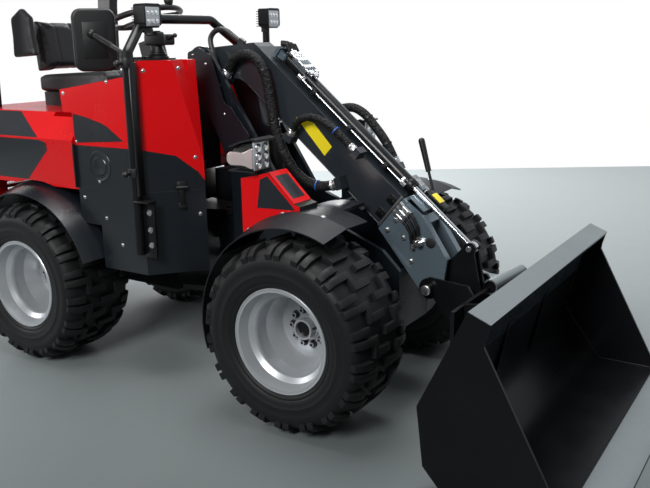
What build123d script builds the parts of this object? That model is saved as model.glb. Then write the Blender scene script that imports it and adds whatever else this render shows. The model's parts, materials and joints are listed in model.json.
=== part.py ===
from build123d import *
import os
from math import asin, atan2, cos, degrees, hypot, radians, sin, sqrt, tan

os.makedirs("parts", exist_ok=True)

# Compact articulated wheel loader with a telescopic boom and a wide bucket.
# Millimetres. +X points to the bucket, +Y to the driver's left, +Z up.
# Every X below is measured from the front axle, every Z from the ground.

# Overall layout
wheelbase = 1518
track = 1008
rear_end_x = -2160
lip_x = 1256
front_axle_x = -(rear_end_x + lip_x) / 2
pivot_x = -wheelbase / 2
rear_axle_x = -wheelbase
hands = {"right": -1, "left": 1}

# Wheels
tyre_radius = 384
tyre_width = 378
carcass_radius = 364
rim_bead_radius = 196
rim_flange_radius = 210
rim_half_width = 169
wheel_disc_inset = 220
wheel_bolt_circle = 145
wheel_bolts = 10
hub_tube_radius = 42
lug_pitches = 18
lug_half_length = 38
lug_bar = 26
lug_top = sqrt(tyre_radius**2 - lug_half_length**2)

# Steering pivot and chassis
pivot_pin_radius = 26
pivot_barrel_radius = 62
pivot_low_z = 322
pivot_high_z = 690
lug_thickness = 25
chassis_rail_y = 150
chassis_rail_thickness = 20
chassis_low_z = 300
chassis_high_z = 470

# Boom, given by its side view
boom_pivot = (-790, 1410)
boom_knee = (-560, 1408)
boom_angle = 40.3
boom_length = 944
boom_width = 150
boom_depth = 168
boom_wall = 8
slide_gap = 5
inner_wall = 7
boom_neck_half = 62
boom_pin_radius = 25
head_half = 80
head_plate = 14

# Front tower
tower_plate_y = 112
tower_plate_thickness = 22
lift_foot = (-452, 470)
lift_eye = (-481, 1157)
lift_pin_radius = 18

# Carrier, tilt cylinder and bucket, side view points
carrier_pivot = (350, 496)
carrier_pin_radius = 22
tilt_foot = (-401.1, 1425.3)
tilt_eye = (494.3, 666.0)
tilt_pin_radius = 12
bucket_half_width = 720
bucket_plate = 10
bucket_side_plate = 12

# Body shell
body_side_y = 545
body_fold_x = -800
body_nose = (-622, 338)
body_low_z = 500
seam_z = 868
panel_low_z = 1056
panel_thickness = 36
floor_z = 872
hood_top_z = 1190
fender_sheet = 5
pin_play = 0.4


def side(y):
    """Plane of a side view at width y; local x is X from the front axle, local y is Z."""
    return Plane(origin=(front_axle_x, y, 0), x_dir=(1, 0, 0), z_dir=(0, -1, 0))


def plan(z):
    """Plane of a plan view at height z; local x is X from the front axle, local y is Y."""
    return Plane(origin=(front_axle_x, 0, z), x_dir=(1, 0, 0), z_dir=(0, 0, 1))


def cross(x):
    """Plane across the machine at x from the front axle; local x is Y, local y is Z."""
    return Plane(origin=(front_axle_x + x, 0, 0), x_dir=(0, 1, 0), z_dir=(1, 0, 0))


def along(start, degrees_down, distance, lift=0):
    """Side view point that far down a sloping line, lifted square to the line."""
    a = radians(degrees_down)
    return (
        start[0] + distance * cos(a) + lift * sin(a),
        start[1] - distance * sin(a) + lift * cos(a),
    )


def sloped(start, degrees_down, distance=0):
    """Plane square to a sloping line of the side view; local x is Y, local y is up the slope's side."""
    x, z = along(start, degrees_down, distance)
    a = radians(degrees_down)
    return Plane(origin=(front_axle_x + x, 0, z), x_dir=(0, 1, 0), z_dir=(cos(a), 0, -sin(a)))


def spoke(axle_x, angle):
    """Plane through a wheel axle at an angle from straight ahead; local x is Y, local y is the radius."""
    a = radians(angle)
    return Plane(
        origin=(front_axle_x + axle_x, 0, tyre_radius), x_dir=(0, 1, 0), z_dir=(sin(a), 0, -cos(a)),
    )


def tread(axle_x, angle):
    """Plane at a wheel's axle that faces out along a radius; local x is Y, local y runs round the tread."""
    a = radians(angle)
    return Plane(
        origin=(front_axle_x + axle_x, 0, tyre_radius), x_dir=(0, 1, 0), z_dir=(cos(a), 0, sin(a)),
    )


datum = Plane(origin=(front_axle_x, 0, 0))

# Chassis of the rear frame, with the two steering lugs and the steering pin
steer_foot = (-1100, 230)
steer_eye = (-600, 190)
steer_z = 400
steer_pin_radius = 12
with BuildPart(datum) as rear_frame:
    for y in (-chassis_rail_y, chassis_rail_y):
        with BuildSketch(side(y)):
            with BuildLine():
                Polyline(
                    (-2090, 380), (-2090, chassis_high_z), (-1240, chassis_high_z), (-1120, 620), (-985, 620),
                    (-985, chassis_low_z), (-1880, chassis_low_z), close=True,
                )
            make_face()
            with Locations((rear_axle_x, tyre_radius)):
                RectangleRounded(124, 114, 22, mode=Mode.SUBTRACT)
        extrude(amount=chassis_rail_thickness / 2, both=True)
    for x in (-2075, -1760, -1330):
        with BuildSketch(cross(x)):
            with Locations((0, (chassis_low_z + chassis_high_z) / 2 + 20)):
                Rectangle(2 * chassis_rail_y, chassis_high_z - chassis_low_z - 60)
        extrude(amount=10, both=True)
    with BuildSketch(cross(-995)):
        with Locations((0, 500)):
            Rectangle(2 * chassis_rail_y, 400)
    extrude(amount=10, both=True)
    for z in (pivot_low_z - lug_thickness, pivot_high_z):
        with BuildSketch(plan(z)):
            with BuildLine():
                Polyline((-1000, -140), (pivot_x, -75), (pivot_x, 75), (-1000, 140), close=True)
            make_face()
            with Locations((pivot_x, 0)):
                Circle(75)
        extrude(amount=lug_thickness)
    with BuildSketch(plan(pivot_low_z - lug_thickness - 6)):
        with Locations((pivot_x, 0)):
            Circle(pivot_pin_radius)
    extrude(amount=pivot_high_z - pivot_low_z + 2 * lug_thickness + 12)
    for z in (steer_z - 30, steer_z + 20):
        with BuildSketch(plan(z)):
            with BuildLine():
                Polyline((-1150, 155), (-1120, 230), (-1080, 230), (-1050, 155), close=True)
            make_face()
            with Locations(steer_foot):
                Circle(26)
        extrude(amount=10)
    with BuildSketch(plan(steer_z - 34)):
        with Locations(steer_foot):
            Circle(steer_pin_radius)
    extrude(amount=68)
rear_frame.part.label = "rear_frame"
export_step(rear_frame.part, "parts/rear_frame.step")

# Engine and pump as one block
with BuildPart(datum) as engine_block:
    with Locations((-1740, 0, 720)):
        Box(480, 380, 440)
engine_block.part.label = "engine_block"
export_step(engine_block.part, "parts/engine_block.step")

# Cast counterweight across the tail, with a tow clevis
with BuildPart(datum) as counterweight:
    with BuildSketch(plan(360)):
        with BuildLine():
            Polyline(
                (-2000, -470), (-2110, -430), (rear_end_x + 30, -300), (rear_end_x + 30, 300), (-2110, 430),
                (-2000, 470), close=True,
            )
        make_face()
    extrude(amount=250)
    with Locations((-2035, 0, 425)):
        Box(150, 2 * chassis_rail_y + 28, 150, mode=Mode.SUBTRACT)
    fillet(counterweight.edges().group_by(Axis.Z)[-1], 18)
    with BuildSketch(plan(350)):
        with Locations((rear_end_x + 28, 0)):
            Rectangle(16, 110)
    extrude(amount=270, mode=Mode.SUBTRACT)
    for z in (404, 456):
        with BuildSketch(plan(z)):
            with Locations((rear_end_x + 23, 0)):
                Rectangle(46, 90)
            with Locations((rear_end_x + 20, 0)):
                Circle(13, mode=Mode.SUBTRACT)
        extrude(amount=18)
    with BuildSketch(cross(rear_end_x + 30)):
        with Locations((0, 560)):
            with GridLocations(320, 50, 2, 2):
                Circle(9)
    extrude(amount=60, mode=Mode.SUBTRACT)
counterweight.part.label = "counterweight"
export_step(counterweight.part, "parts/counterweight.step")


def axle(x):
    """Axle beam with a wheel motor drum at each end, standing inside the wheel discs."""
    flange_y = track / 2 + rim_half_width - wheel_disc_inset - 14
    with BuildPart() as beam:
        with BuildSketch(side(0)):
            with Locations((x, tyre_radius)):
                RectangleRounded(120, 110, 20)
        extrude(amount=flange_y - 40, both=True)
        with BuildSketch(side(0)):
            with Locations((x, tyre_radius)):
                Circle(112)
        extrude(amount=flange_y - 12, both=True)
        with BuildSketch(side(0)):
            with Locations((x, tyre_radius)):
                Circle(130)
        extrude(amount=flange_y - 120, both=True, mode=Mode.SUBTRACT)
        with BuildSketch(side(0)):
            with Locations((x, tyre_radius)):
                RectangleRounded(120, 110, 20)
        extrude(amount=flange_y - 100, both=True)
        with BuildSketch(side(0)):
            with Locations((x, tyre_radius)):
                Circle(30)
        extrude(amount=flange_y + 60, both=True)
    return beam.part


front_axle = axle(0)
front_axle.label = "front_axle"
export_step(front_axle, "parts/front_axle.step")
rear_axle = axle(rear_axle_x)
rear_axle.label = "rear_axle"
export_step(rear_axle, "parts/rear_axle.step")

# Wheels: a tyre and a deep-set silver rim at each corner
wheel_corners = {"front": 0, "rear": rear_axle_x}
tyre_half_section = (
    (157, 194), (157, 213), (174, 224), (183, 250), (186, 300), (181, 330), (158, 352), (90, carcass_radius),
)
lug_side_view = ((-30, 310), (-30, lug_top), (120, lug_top - 1), (164, 368), (189, 346), (189, 322), (168, 310))
stepped_lug = (
    (195, -lug_half_length), (70, -lug_half_length), (70, lug_half_length - lug_bar),
    (-10, lug_half_length - lug_bar), (-10, lug_half_length), (70 + lug_bar, lug_half_length),
    (70 + lug_bar, lug_bar - lug_half_length), (195, lug_bar - lug_half_length),
)
shoulder_lug = ((195, -lug_bar / 2), (112, -lug_bar / 2), (112, lug_bar / 2), (195, lug_bar / 2))
pitch_angle = 360 / lug_pitches
shoulder_lug_angle = 0.47 * pitch_angle
first_lug_angle = -90 - degrees(asin(lug_half_length / tyre_radius))


def tread_lug(axle_x, centre_y, s, outline, angle):
    """Tread lug of one half of the tyre: its outline on the tread, cut to the tread's side view."""
    with BuildPart() as lug:
        with BuildSketch(tread(axle_x, angle)):
            with BuildLine():
                Polyline(*[(centre_y + s * y, run) for y, run in outline], close=True)
            make_face()
        extrude(amount=tyre_radius + 10)
        face = tread(axle_x, angle)
        with BuildSketch(Plane(origin=face.origin, x_dir=(0, 1, 0), z_dir=-face.y_dir)):
            with BuildLine():
                Polyline(*[(centre_y + s * y, height) for y, height in lug_side_view], close=True)
            make_face()
        extrude(amount=80, both=True, mode=Mode.INTERSECT)
    return lug.part


for end, axle_x in wheel_corners.items():
    for hand, s in hands.items():
        centre_y = s * track / 2
        spin_axis = Axis((front_axle_x + axle_x, 0, tyre_radius), (0, 1, 0))
        lugs = []
        for half in (-1, 1):
            start = first_lug_angle + (half + 1) * pitch_angle / 4
            step = tread_lug(axle_x, centre_y, half, stepped_lug, start)
            bar = tread_lug(axle_x, centre_y, half, shoulder_lug, start + shoulder_lug_angle)
            for turn in range(lug_pitches):
                lugs.append(step.rotate(spin_axis, turn * pitch_angle))
                lugs.append(bar.rotate(spin_axis, turn * pitch_angle))
        with BuildPart() as tyre:
            with BuildSketch(cross(axle_x)):
                with BuildLine():
                    Polyline(
                        *[(centre_y - y, tyre_radius + r) for y, r in tyre_half_section],
                        *[(centre_y + y, tyre_radius + r) for y, r in reversed(tyre_half_section)],
                        close=True,
                    )
                make_face()
            revolve(axis=spin_axis)
            add(lugs)
        tyre.part.label = f"tyre_{end}_{hand}"
        export_step(tyre.part, f"parts/tyre_{end}_{hand}.step")

        flange = centre_y + s * rim_half_width
        disc = flange - s * wheel_disc_inset
        with BuildPart() as rim:
            with BuildSketch(cross(axle_x)):
                with BuildLine():
                    Polyline(
                        (disc, tyre_radius + hub_tube_radius - 8),
                        (disc, tyre_radius + 150),
                        (centre_y - s * rim_half_width, tyre_radius + 178),
                        (centre_y - s * rim_half_width, tyre_radius + rim_flange_radius),
                        (centre_y - s * 157, tyre_radius + rim_flange_radius),
                        (centre_y - s * 157, tyre_radius + 194),
                        (centre_y + s * 157, tyre_radius + 194),
                        (centre_y + s * 157, tyre_radius + rim_flange_radius),
                        (flange, tyre_radius + rim_flange_radius),
                        (flange, tyre_radius + 196),
                        (flange - s * 46, tyre_radius + 184),
                        (flange - s * 60, tyre_radius + 164),
                        (disc + s * 90, tyre_radius + 158),
                        (disc + s * 14, tyre_radius + 128),
                        (disc + s * 14, tyre_radius + hub_tube_radius - 8),
                        close=True,
                    )
                make_face()
            revolve(axis=spin_axis)
            with BuildSketch(side(disc + s * 10)):
                with Locations((axle_x, tyre_radius)):
                    Circle(hub_tube_radius)
                    Circle(hub_tube_radius - 8, mode=Mode.SUBTRACT)
            extrude(amount=-s * 52)
            with BuildSketch(side(disc + s * 10)):
                with Locations((axle_x, tyre_radius)):
                    with PolarLocations(wheel_bolt_circle / 2, wheel_bolts):
                        RegularPolygon(11, 6)
            extrude(amount=-s * 26)
        rim.part.label = f"rim_{end}_{hand}"
        export_step(rim.part, f"parts/rim_{end}_{hand}.step")

# Fenders: crowned sheets that fall towards the outer edge, by angle round the axle from straight ahead
rear_fender_section = ((300, 466), (510, 478), (636, 436))
front_fender_section = ((322, 462), (480, 466), (620, 432))
mudguard_section = ((322, 430), (480, 434), (620, 430))


def fender_arc(axle_x, s, section, start, stop):
    """Bent sheet swept round a wheel axle between two angles from straight ahead."""
    with BuildPart() as sheet:
        with BuildSketch(spoke(axle_x, stop)):
            with BuildLine():
                Polyline(
                    *[(s * y, r) for y, r in section],
                    *[(s * y, r - fender_sheet) for y, r in reversed(section)],
                    close=True,
                )
            make_face()
        revolve(axis=Axis((front_axle_x + axle_x, 0, tyre_radius), (0, 1, 0)), revolution_arc=stop - start)
    return sheet.part


# Lower edge of the red panels in side view
panel_low_edge = ((-1300, 1056), (-800, 1056), (-700, 1022), (-640, 948), (-600, 858))

# Body sides: tanks below the floor, a wall above the seam and the rear fender
for hand, s in hands.items():
    sheet = fender_arc(rear_axle_x, s, rear_fender_section, 20, 150)
    with BuildPart() as body_side:
        with BuildSketch(plan(body_low_z)):
            with BuildLine():
                Polyline(
                    (-1070, s * 330), (-1070, s * body_side_y), (body_fold_x, s * body_side_y),
                    (body_nose[0], s * body_nose[1]), (pivot_x, s * 226), (-870, s * 216), (-960, s * 150),
                    (-980, s * 150), (-980, s * 330), close=True,
                )
            make_face()
        extrude(amount=seam_z - body_low_z)
        with BuildSketch(plan(seam_z - 170)):
            with BuildLine():
                Polyline(
                    (-1200, s * (body_side_y - panel_thickness)), (-1200, s * body_side_y),
                    (body_fold_x, s * body_side_y), (body_nose[0], s * body_nose[1]),
                    (body_nose[0] - 60, s * (body_nose[1] + 6)),
                    (body_fold_x - 12, s * (body_side_y - panel_thickness)), close=True,
                )
            make_face()
        extrude(amount=panel_low_z - seam_z + 170)
        with BuildSketch(side(-s)):
            with Locations((rear_axle_x, tyre_radius)):
                Circle(460)
        extrude(amount=-s * 700, mode=Mode.SUBTRACT)
        with BuildSketch(side(-s)):
            with BuildLine():
                Polyline(*panel_low_edge, (-590, 840), (-590, 1070), (-1300, 1070), close=True)
            make_face()
        extrude(amount=-s * 700, mode=Mode.SUBTRACT)
        add(sheet)
    body_side.part.label = f"body_side_{hand}"
    export_step(body_side.part, f"parts/body_side_{hand}.step")

# Driver's floor with the front wall behind the boom tower
with BuildPart(datum) as cab_floor:
    with BuildSketch(plan(floor_z)):
        with Locations((-1202, 0)):
            Rectangle(436, 1006)
    extrude(amount=10)
    with BuildSketch(cross(-996)):
        with Locations((0, 1136)):
            Rectangle(410, 520)
    extrude(amount=12)
    with BuildSketch(cross(-1420)):
        with Locations((0, floor_z + 140)):
            Rectangle(900, 280)
    extrude(amount=12)
cab_floor.part.label = "cab_floor"
export_step(cab_floor.part, "parts/cab_floor.step")

# Red side panels: a flat flank, a folded facet and a nose that turns in to the tower
for hand, s in hands.items():
    with BuildPart() as panel:
        with BuildSketch(plan(seam_z + 2)):
            with BuildLine():
                Polyline(
                    (-1275, s * body_side_y), (body_fold_x, s * body_side_y),
                    (body_nose[0], s * body_nose[1]), (pivot_x, s * 226), (pivot_x - 60, s * 232),
                    (-984, s * 205), (-984, s * 236), (pivot_x - 46, s * 266), (pivot_x + 10, s * 262),
                    (body_nose[0] - 60, s * (body_nose[1] + 6)),
                    (body_fold_x - 12, s * (body_side_y - panel_thickness)),
                    (-1275, s * (body_side_y - panel_thickness)), close=True,
                )
            make_face()
        extrude(amount=1424 - seam_z)
        with BuildSketch(side(0)):
            with BuildLine():
                Polyline(
                    (-1204, 1056), *panel_low_edge[1:],
                    (-695, 1424), (-840, 1424), (-850, 1360), (-1272, 1300), (-1262, 1200), (-1204, 1200), close=True,
                )
            make_face()
        extrude(amount=600, both=True, mode=Mode.INTERSECT)
    panel.part.label = f"side_panel_{hand}"
    export_step(panel.part, f"parts/side_panel_{hand}.step")

# Rear bodywork over the engine: one hollow shell, cut away for the driver's legs, with the tail door's hinges
door_hinge = (-2140, 446)
with BuildPart() as rear_hood:
    with BuildSketch(cross(-2090)):
        with BuildLine():
            Polyline(
                (-540, 850), (-560, 1075), (-470, hood_top_z), (470, hood_top_z), (560, 1075), (540, 850),
                (504, 850), (524, 1060), (452, hood_top_z - 36), (-452, hood_top_z - 36), (-524, 1060), (-504, 850),
                close=True,
            )
        make_face()
    extrude(amount=884)
    with BuildSketch(side(0)):
        with Locations((rear_axle_x, tyre_radius)):
            Circle(486)
    extrude(amount=600, both=True, mode=Mode.SUBTRACT)
    with BuildSketch(plan(1040)):
        with Locations((-1300, 0)):
            Rectangle(208, 968)
    extrude(amount=200, mode=Mode.SUBTRACT)
    for z in (907, 1000):
        with BuildSketch(plan(z)):
            with BuildLine():
                Polyline(
                    (-2144, 446), (-2144, 534), (-2080, 534), (-2080, 526), (-2136, 526), (-2136, 446), close=True,
                )
            make_face()
            with Locations(door_hinge):
                Circle(9)
        extrude(amount=33)
    for z in (866, 1000):
        with BuildSketch(plan(z)):
            with Locations(door_hinge):
                Circle(5)
        extrude(amount=74)
rear_hood.part.label = "rear_hood"
export_step(rear_hood.part, "parts/rear_hood.step")

# Tail door with a slatted grille, hinged on the left
door_slats = 10
door_slat_pitch = 32
with BuildPart(datum) as tail_door:
    with BuildSketch(cross(-2096)):
        with BuildLine():
            Polyline((-440, 640), (-440, 1080), (-400, 1130), (400, 1130), (440, 1080), (440, 640), close=True)
        make_face()
        with Locations((0, 880)):
            with GridLocations(0, door_slat_pitch, 1, door_slats):
                Rectangle(560, 14, mode=Mode.SUBTRACT)
    extrude(amount=-34)
    for z in (870, 1035):
        with BuildSketch(plan(z)):
            with Locations(door_hinge):
                Circle(9)
            with Locations((-2134, 437)):
                Rectangle(12, 18)
        extrude(amount=35)
        with BuildSketch(plan(z)):
            with Locations(door_hinge):
                Circle(5 + pin_play)
        extrude(amount=35, mode=Mode.SUBTRACT)
tail_door.part.label = "tail_door"
export_step(tail_door.part, "parts/tail_door.step")

# Seat on the hood: frame, cushion, back and armrest
with BuildPart(datum) as seat_base:
    with Locations((-1600, 0, 1225)):
        Box(420, 400, 69)
seat_base.part.label = "seat_base"
export_step(seat_base.part, "parts/seat_base.step")
with BuildPart(datum) as seat_cushion:
    with BuildSketch(side(0)):
        with BuildLine():
            Polyline(
                (-1850, 1262), (-1330, 1262), (-1300, 1290), (-1310, 1350), (-1340, 1364), (-1850, 1340), close=True,
            )
        make_face()
    extrude(amount=230, both=True)
    fillet(seat_cushion.edges().filter_by(Axis.Y), 12)
seat_cushion.part.label = "seat_cushion"
export_step(seat_cushion.part, "parts/seat_cushion.step")
with BuildPart(datum) as seat_back:
    with BuildSketch(side(0)):
        with BuildLine():
            Polyline((-1850, 1344), (-1760, 1366), (-1790, 1600), (-1830, 1630), (-1880, 1620), close=True)
        make_face()
    extrude(amount=225, both=True)
    fillet(seat_back.edges().filter_by(Axis.Y), 12)
seat_back.part.label = "seat_back"
export_step(seat_back.part, "parts/seat_back.step")
with BuildPart(datum) as armrest:
    with BuildSketch(side(-270)):
        with BuildLine():
            Polyline((-1880, 1420), (-1700, 1430), (-1720, 1640), (-1790, 1690), (-1880, 1640), close=True)
        make_face()
    extrude(amount=60)
armrest.part.label = "armrest"
export_step(armrest.part, "parts/armrest.step")

# Steering column and wheel
column_foot = (-1060, 884)
wheel_centre = (-1250, 1610)
column_angle = degrees(atan2(wheel_centre[1] - column_foot[1], wheel_centre[0] - column_foot[0]))
column_length = hypot(wheel_centre[0] - column_foot[0], wheel_centre[1] - column_foot[1])
with BuildPart(datum) as steering_column:
    with BuildSketch(sloped(column_foot, -column_angle, 20)):
        RectangleRounded(110, 90, 20)
    extrude(amount=column_length - 130)
    with BuildSketch(sloped(column_foot, -column_angle, column_length - 120)):
        Circle(24)
    extrude(amount=110)
    with BuildSketch(plan(floor_z + 10)):
        with Locations((-1072, 0)):
            Rectangle(140, 160)
    extrude(amount=60)
steering_column.part.label = "steering_column"
export_step(steering_column.part, "parts/steering_column.step")
wheel_plane = sloped(column_foot, -column_angle, column_length)
with BuildPart() as steering_wheel:
    with BuildSketch(wheel_plane):
        Circle(46)
        for turn in (90, 210, 330):
            with PolarLocations(95, 1, start_angle=turn):
                Rectangle(150, 24)
    extrude(amount=12)
    with BuildSketch(Plane(origin=wheel_plane.origin, x_dir=wheel_plane.x_dir, z_dir=wheel_plane.y_dir)):
        with Locations((175, -6)):
            Circle(14)
    revolve(axis=Axis(wheel_plane.origin, wheel_plane.z_dir))
steering_wheel.part.label = "steering_wheel"
export_step(steering_wheel.part, "parts/steering_wheel.step")

# Joystick console on the right panel
with BuildPart(datum) as console:
    with BuildSketch(plan(1240)):
        with Locations((-865, -376)):
            RectangleRounded(130, 206, 20)
    extrude(amount=190)
    with BuildSketch(plan(1430)):
        with Locations((-850, -340)):
            Circle(44)
    extrude(amount=50, taper=24)
    with BuildSketch(plan(1476)):
        with Locations((-850, -340)):
            Circle(16)
    extrude(amount=70)
console.part.label = "console"
export_step(console.part, "parts/console.step")

# Tube guard in front of the driver, with two work lamps
guard_radius = 21
guard_path = (
    (-812, -566, 600), (-812, -566, 1450), (-885, -381, 1597), (-885, 60, 1597), (-885, 335, 1445),
    (-885, 480, 1445),
)
with BuildPart() as guard_frame:
    with BuildLine() as guard_line:
        FilletPolyline(*[(front_axle_x + x, y, z) for x, y, z in guard_path], radius=55)
    with BuildSketch(Plane(origin=guard_line.line @ 0, z_dir=guard_line.line % 0)):
        Circle(guard_radius)
    sweep()
    for y, z in ((-392, 1612), (478, 1612)):
        with BuildSketch(cross(-880)):
            with Locations((y, z)):
                RectangleRounded(100, 92, 14)
        extrude(amount=64)
    with BuildSketch(plan(1425)):
        with Locations((-870, 478)):
            Circle(18)
    extrude(amount=160)
guard_frame.part.label = "guard_frame"
export_step(guard_frame.part, "parts/guard_frame.step")

# Mirror on an arm from the right post
mirror_plane = Plane(origin=(front_axle_x - 1044, -540, 1515), x_dir=(0.6, 0.8, 0), z_dir=(0.8, -0.6, 0))
with BuildPart() as mirror:
    with BuildSketch(mirror_plane):
        RectangleRounded(227, 267, 40)
    extrude(amount=20, both=True)
    with BuildSketch(Plane(origin=(front_axle_x - 1030, -548, 1540), z_dir=(212, -20, -90))):
        Circle(10)
    extrude(amount=208)
mirror.part.label = "mirror"
export_step(mirror.part, "parts/mirror.step")

# Roll-over frame: two rear posts and a roof over the driver
rops_top = 2140
with BuildPart(datum) as rops:
    for s in (-1, 1):
        with BuildSketch(side(s * 380)):
            with BuildLine():
                Polyline(
                    (-2030, hood_top_z), (-2000, 1700), (-1950, rops_top + 20), (-1850, rops_top + 20), (-1905, 1700),
                    (-1925, hood_top_z), close=True,
                )
            make_face()
        extrude(amount=-s * 60)
    with BuildSketch(side(0)):
        with BuildLine():
            Polyline(
                (-1960, rops_top), (-1180, rops_top + 20), (-1120, rops_top + 12), (-1110, rops_top + 28),
                (-1180, rops_top + 62), (-1900, rops_top + 48), (-1970, rops_top + 20), close=True,
            )
        make_face()
    extrude(amount=450, both=True)
rops.part.label = "rops"
export_step(rops.part, "parts/rops.step")

# Front frame: two tower plates that carry the boom, closed into a box over the axle
tower_outline = (
    (-849, 1377), (-731, 1443), (-500, 1090), (-330, 830), (150, 640), (232, 560), (232, 300), (-560, 300),
    (-640, 360), (-640, 930),
)
cover_outline = (
    (-845, 1372), (-838, 1452), (-770, 1470), (-706, 1440), (-640, 1230), (-604, 1212), (-500, 1085), (-556, 1030),
    (-640, 1010),
)
cover_mounts = ((-690, 1300), (-600, 1100))
with BuildPart(datum) as front_frame:
    for s in (-1, 1):
        with BuildSketch(side(s * tower_plate_y)):
            with BuildLine():
                Polyline(*tower_outline, close=True)
            make_face()
            with Locations(boom_pivot):
                Circle(68)
                Circle(boom_pin_radius + pin_play, mode=Mode.SUBTRACT)
            with Locations((0, tyre_radius)):
                RectangleRounded(124, 114, 22, mode=Mode.SUBTRACT)
        extrude(amount=-s * tower_plate_thickness)
    with BuildSketch(side(0)):
        with BuildLine():
            Polyline(
                (-640, 360), (-560, 300), (232, 300), (232, 560), (218, 560), (218, 316), (-552, 316),
                (-625, 368), (-625, 660), (-640, 660), close=True,
            )
        make_face()
    extrude(amount=tower_plate_y + 5, both=True)
    with BuildSketch(side(0)):
        with Locations(lift_foot):
            Circle(lift_pin_radius)
    extrude(amount=tower_plate_y + 5, both=True)
    with BuildSketch(plan(pivot_low_z + 5)):
        with BuildLine():
            Polyline(
                (pivot_x, -pivot_barrel_radius), (-650, -100), (-626, -100), (-626, 100), (-650, 100),
                (pivot_x, pivot_barrel_radius), close=True,
            )
        make_face()
        with Locations((pivot_x, 0)):
            Circle(pivot_barrel_radius)
            Circle(pivot_pin_radius + pin_play, mode=Mode.SUBTRACT)
    extrude(amount=pivot_high_z - pivot_low_z - 10)
    for z in (steer_z - 28, steer_z + 16):
        with BuildSketch(plan(z)):
            with BuildLine():
                Polyline((-596, 125), (-623, 186), (-577, 190), (-490, 125), close=True)
            make_face()
            with Locations(steer_eye):
                Circle(24)
        extrude(amount=12)
    for z in (steer_z - 34, steer_z + 28):
        with BuildSketch(plan(z)):
            with Locations(steer_eye):
                Circle(steer_pin_radius)
        extrude(amount=6)
    for s in (-1, 1):
        with BuildSketch(side(s * 158)):
            with BuildLine():
                FilletPolyline(*cover_outline, close=True, radius=16)
            make_face()
        extrude(amount=-s * 6)
        for place in cover_mounts:
            with BuildSketch(side(s * (tower_plate_y + 20))):
                with Locations(place):
                    Circle(14)
            extrude(amount=-s * 28)
    for s in (-1, 1):
        with BuildSketch(side(s * (tower_plate_y + 10))):
            with Locations((0, tyre_radius)):
                Circle(455)
                Circle(440, mode=Mode.SUBTRACT)
            with BuildLine():
                Polyline((0, tyre_radius), (-330, 900), (70, 900), close=True)
            make_face(mode=Mode.INTERSECT)
        extrude(amount=-s * 214)
front_frame.part.label = "front_frame"
export_step(front_frame.part, "parts/front_frame.step")

# Front fenders with a mudguard behind and the lamp tower on top
for hand, s in hands.items():
    sheet = fender_arc(0, s, front_fender_section, 66, 140)
    mudguard = fender_arc(0, s, mudguard_section, 136, 197)
    with BuildPart() as front_fender:
        with BuildSketch(side(s * 330)):
            with BuildLine():
                Polyline(
                    (-330, 700), (-330, 958), (-190, 990), (-70, 872), (-40, 864), (-40, 700), close=True,
                )
            make_face()
        extrude(amount=-s * 120)
        with BuildSketch(side(s * 320)):
            with Locations((0, tyre_radius)):
                Circle(461)
        extrude(amount=-s * 140, mode=Mode.SUBTRACT)
        with BuildSketch(spoke(0, 140)):
            with BuildLine():
                Polyline(
                    (s * 326, 427.5), (s * 326, 459.5), (s * 480, 463.5), (s * 600, 434), (s * 600, 427.5), close=True,
                )
            make_face()
        extrude(amount=5)
        add(sheet)
        add(mudguard)
    front_fender.part.label = f"front_fender_{hand}"
    export_step(front_fender.part, f"parts/front_fender_{hand}.step")
    with BuildPart() as headlamp:
        with BuildSketch(cross(-325)):
            with Locations((s * 395, 1052)):
                RectangleRounded(190, 122, 28)
        extrude(amount=105)
        chamfer(headlamp.faces().sort_by(Axis.X)[-1].edges(), 14)
        with BuildSketch(plan(975)):
            with Locations((-270, s * 395)):
                Rectangle(60, 60)
        extrude(amount=30)
        with BuildSketch(side(s * 360)):
            with BuildLine():
                Polyline((-330, 900), (-330, 958), (-190, 990), (-70, 870), close=True)
            make_face()
        extrude(amount=-s * 90, mode=Mode.SUBTRACT)
    headlamp.part.label = f"headlamp_{hand}"
    export_step(headlamp.part, f"parts/headlamp_{hand}.step")

# Hoses held at both ends by blocks on the outer boom: diameter, how far out each block starts,
# and the route as X, width and Z
hose_routes = {
    "hose_main": (
        44, 52, 70, ((-684, -85, 1344), (-648, -85, 1407), (-588, -98, 1440), (-519, -110, 1441), (-463, -114, 1404),
                 (-434, -114, 1337), (-419, -116, 1250), (-404, -118, 1162), (-378, -119, 1080), (-342, -119, 1002),
                 (-290, -119, 932), (-216, -116, 890), (-142, -112, 880), (-78, -112, 900)),
    ),
    "hose_upper": (
        32, 70, 70, ((-318, -112, 1096), (-290, -112, 1146), (-238, -118, 1178), (-170, -120, 1178), (-106, -118, 1146),
                 (-48, -112, 1098), (8, -112, 1046)),
    ),
    "hose_left": (
        40, 70, 70, ((-214, 108, 1190), (-148, 108, 1212), (-80, 114, 1186), (-28, 114, 1132), (22, 112, 1078),
                 (60, 108, 1022), (88, 108, 966)),
    ),
    "conduit": (
        24, 44, 44, ((-735, -85, 1358), (-741, -85, 1414), (-764, -82, 1466), (-778, -76, 1514), (-748, -68, 1548),
                 (-700, -60, 1552), (-655, -50, 1515), (-625, -50, 1497)),
    ),
}
anchor_depth = 30


def hose(name, diameter, route):
    """Free hose along straight runs that are joined by tangent arcs."""
    corners = [Vector(front_axle_x + x, y, z) for x, y, z in route]
    runs = [after - before for before, after in zip(corners, corners[1:])]
    radii = []
    for before, after in zip(runs, runs[1:]):
        half_turn = radians(before.get_angle(after)) / 2
        radii.append(0.45 * min(before.length, after.length) / tan(half_turn))
    with BuildPart() as tube:
        with BuildLine() as line:
            FilletPolyline(*corners, radius=radii)
        with BuildSketch(Plane(origin=line.line @ 0, z_dir=line.line % 0)):
            Circle(diameter / 2)
        sweep()
    length = sum(edge.length for edge in line.edges())
    print(name, "length", round(length), "radii", [round(radius) for radius in radii])
    return tube.part


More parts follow.
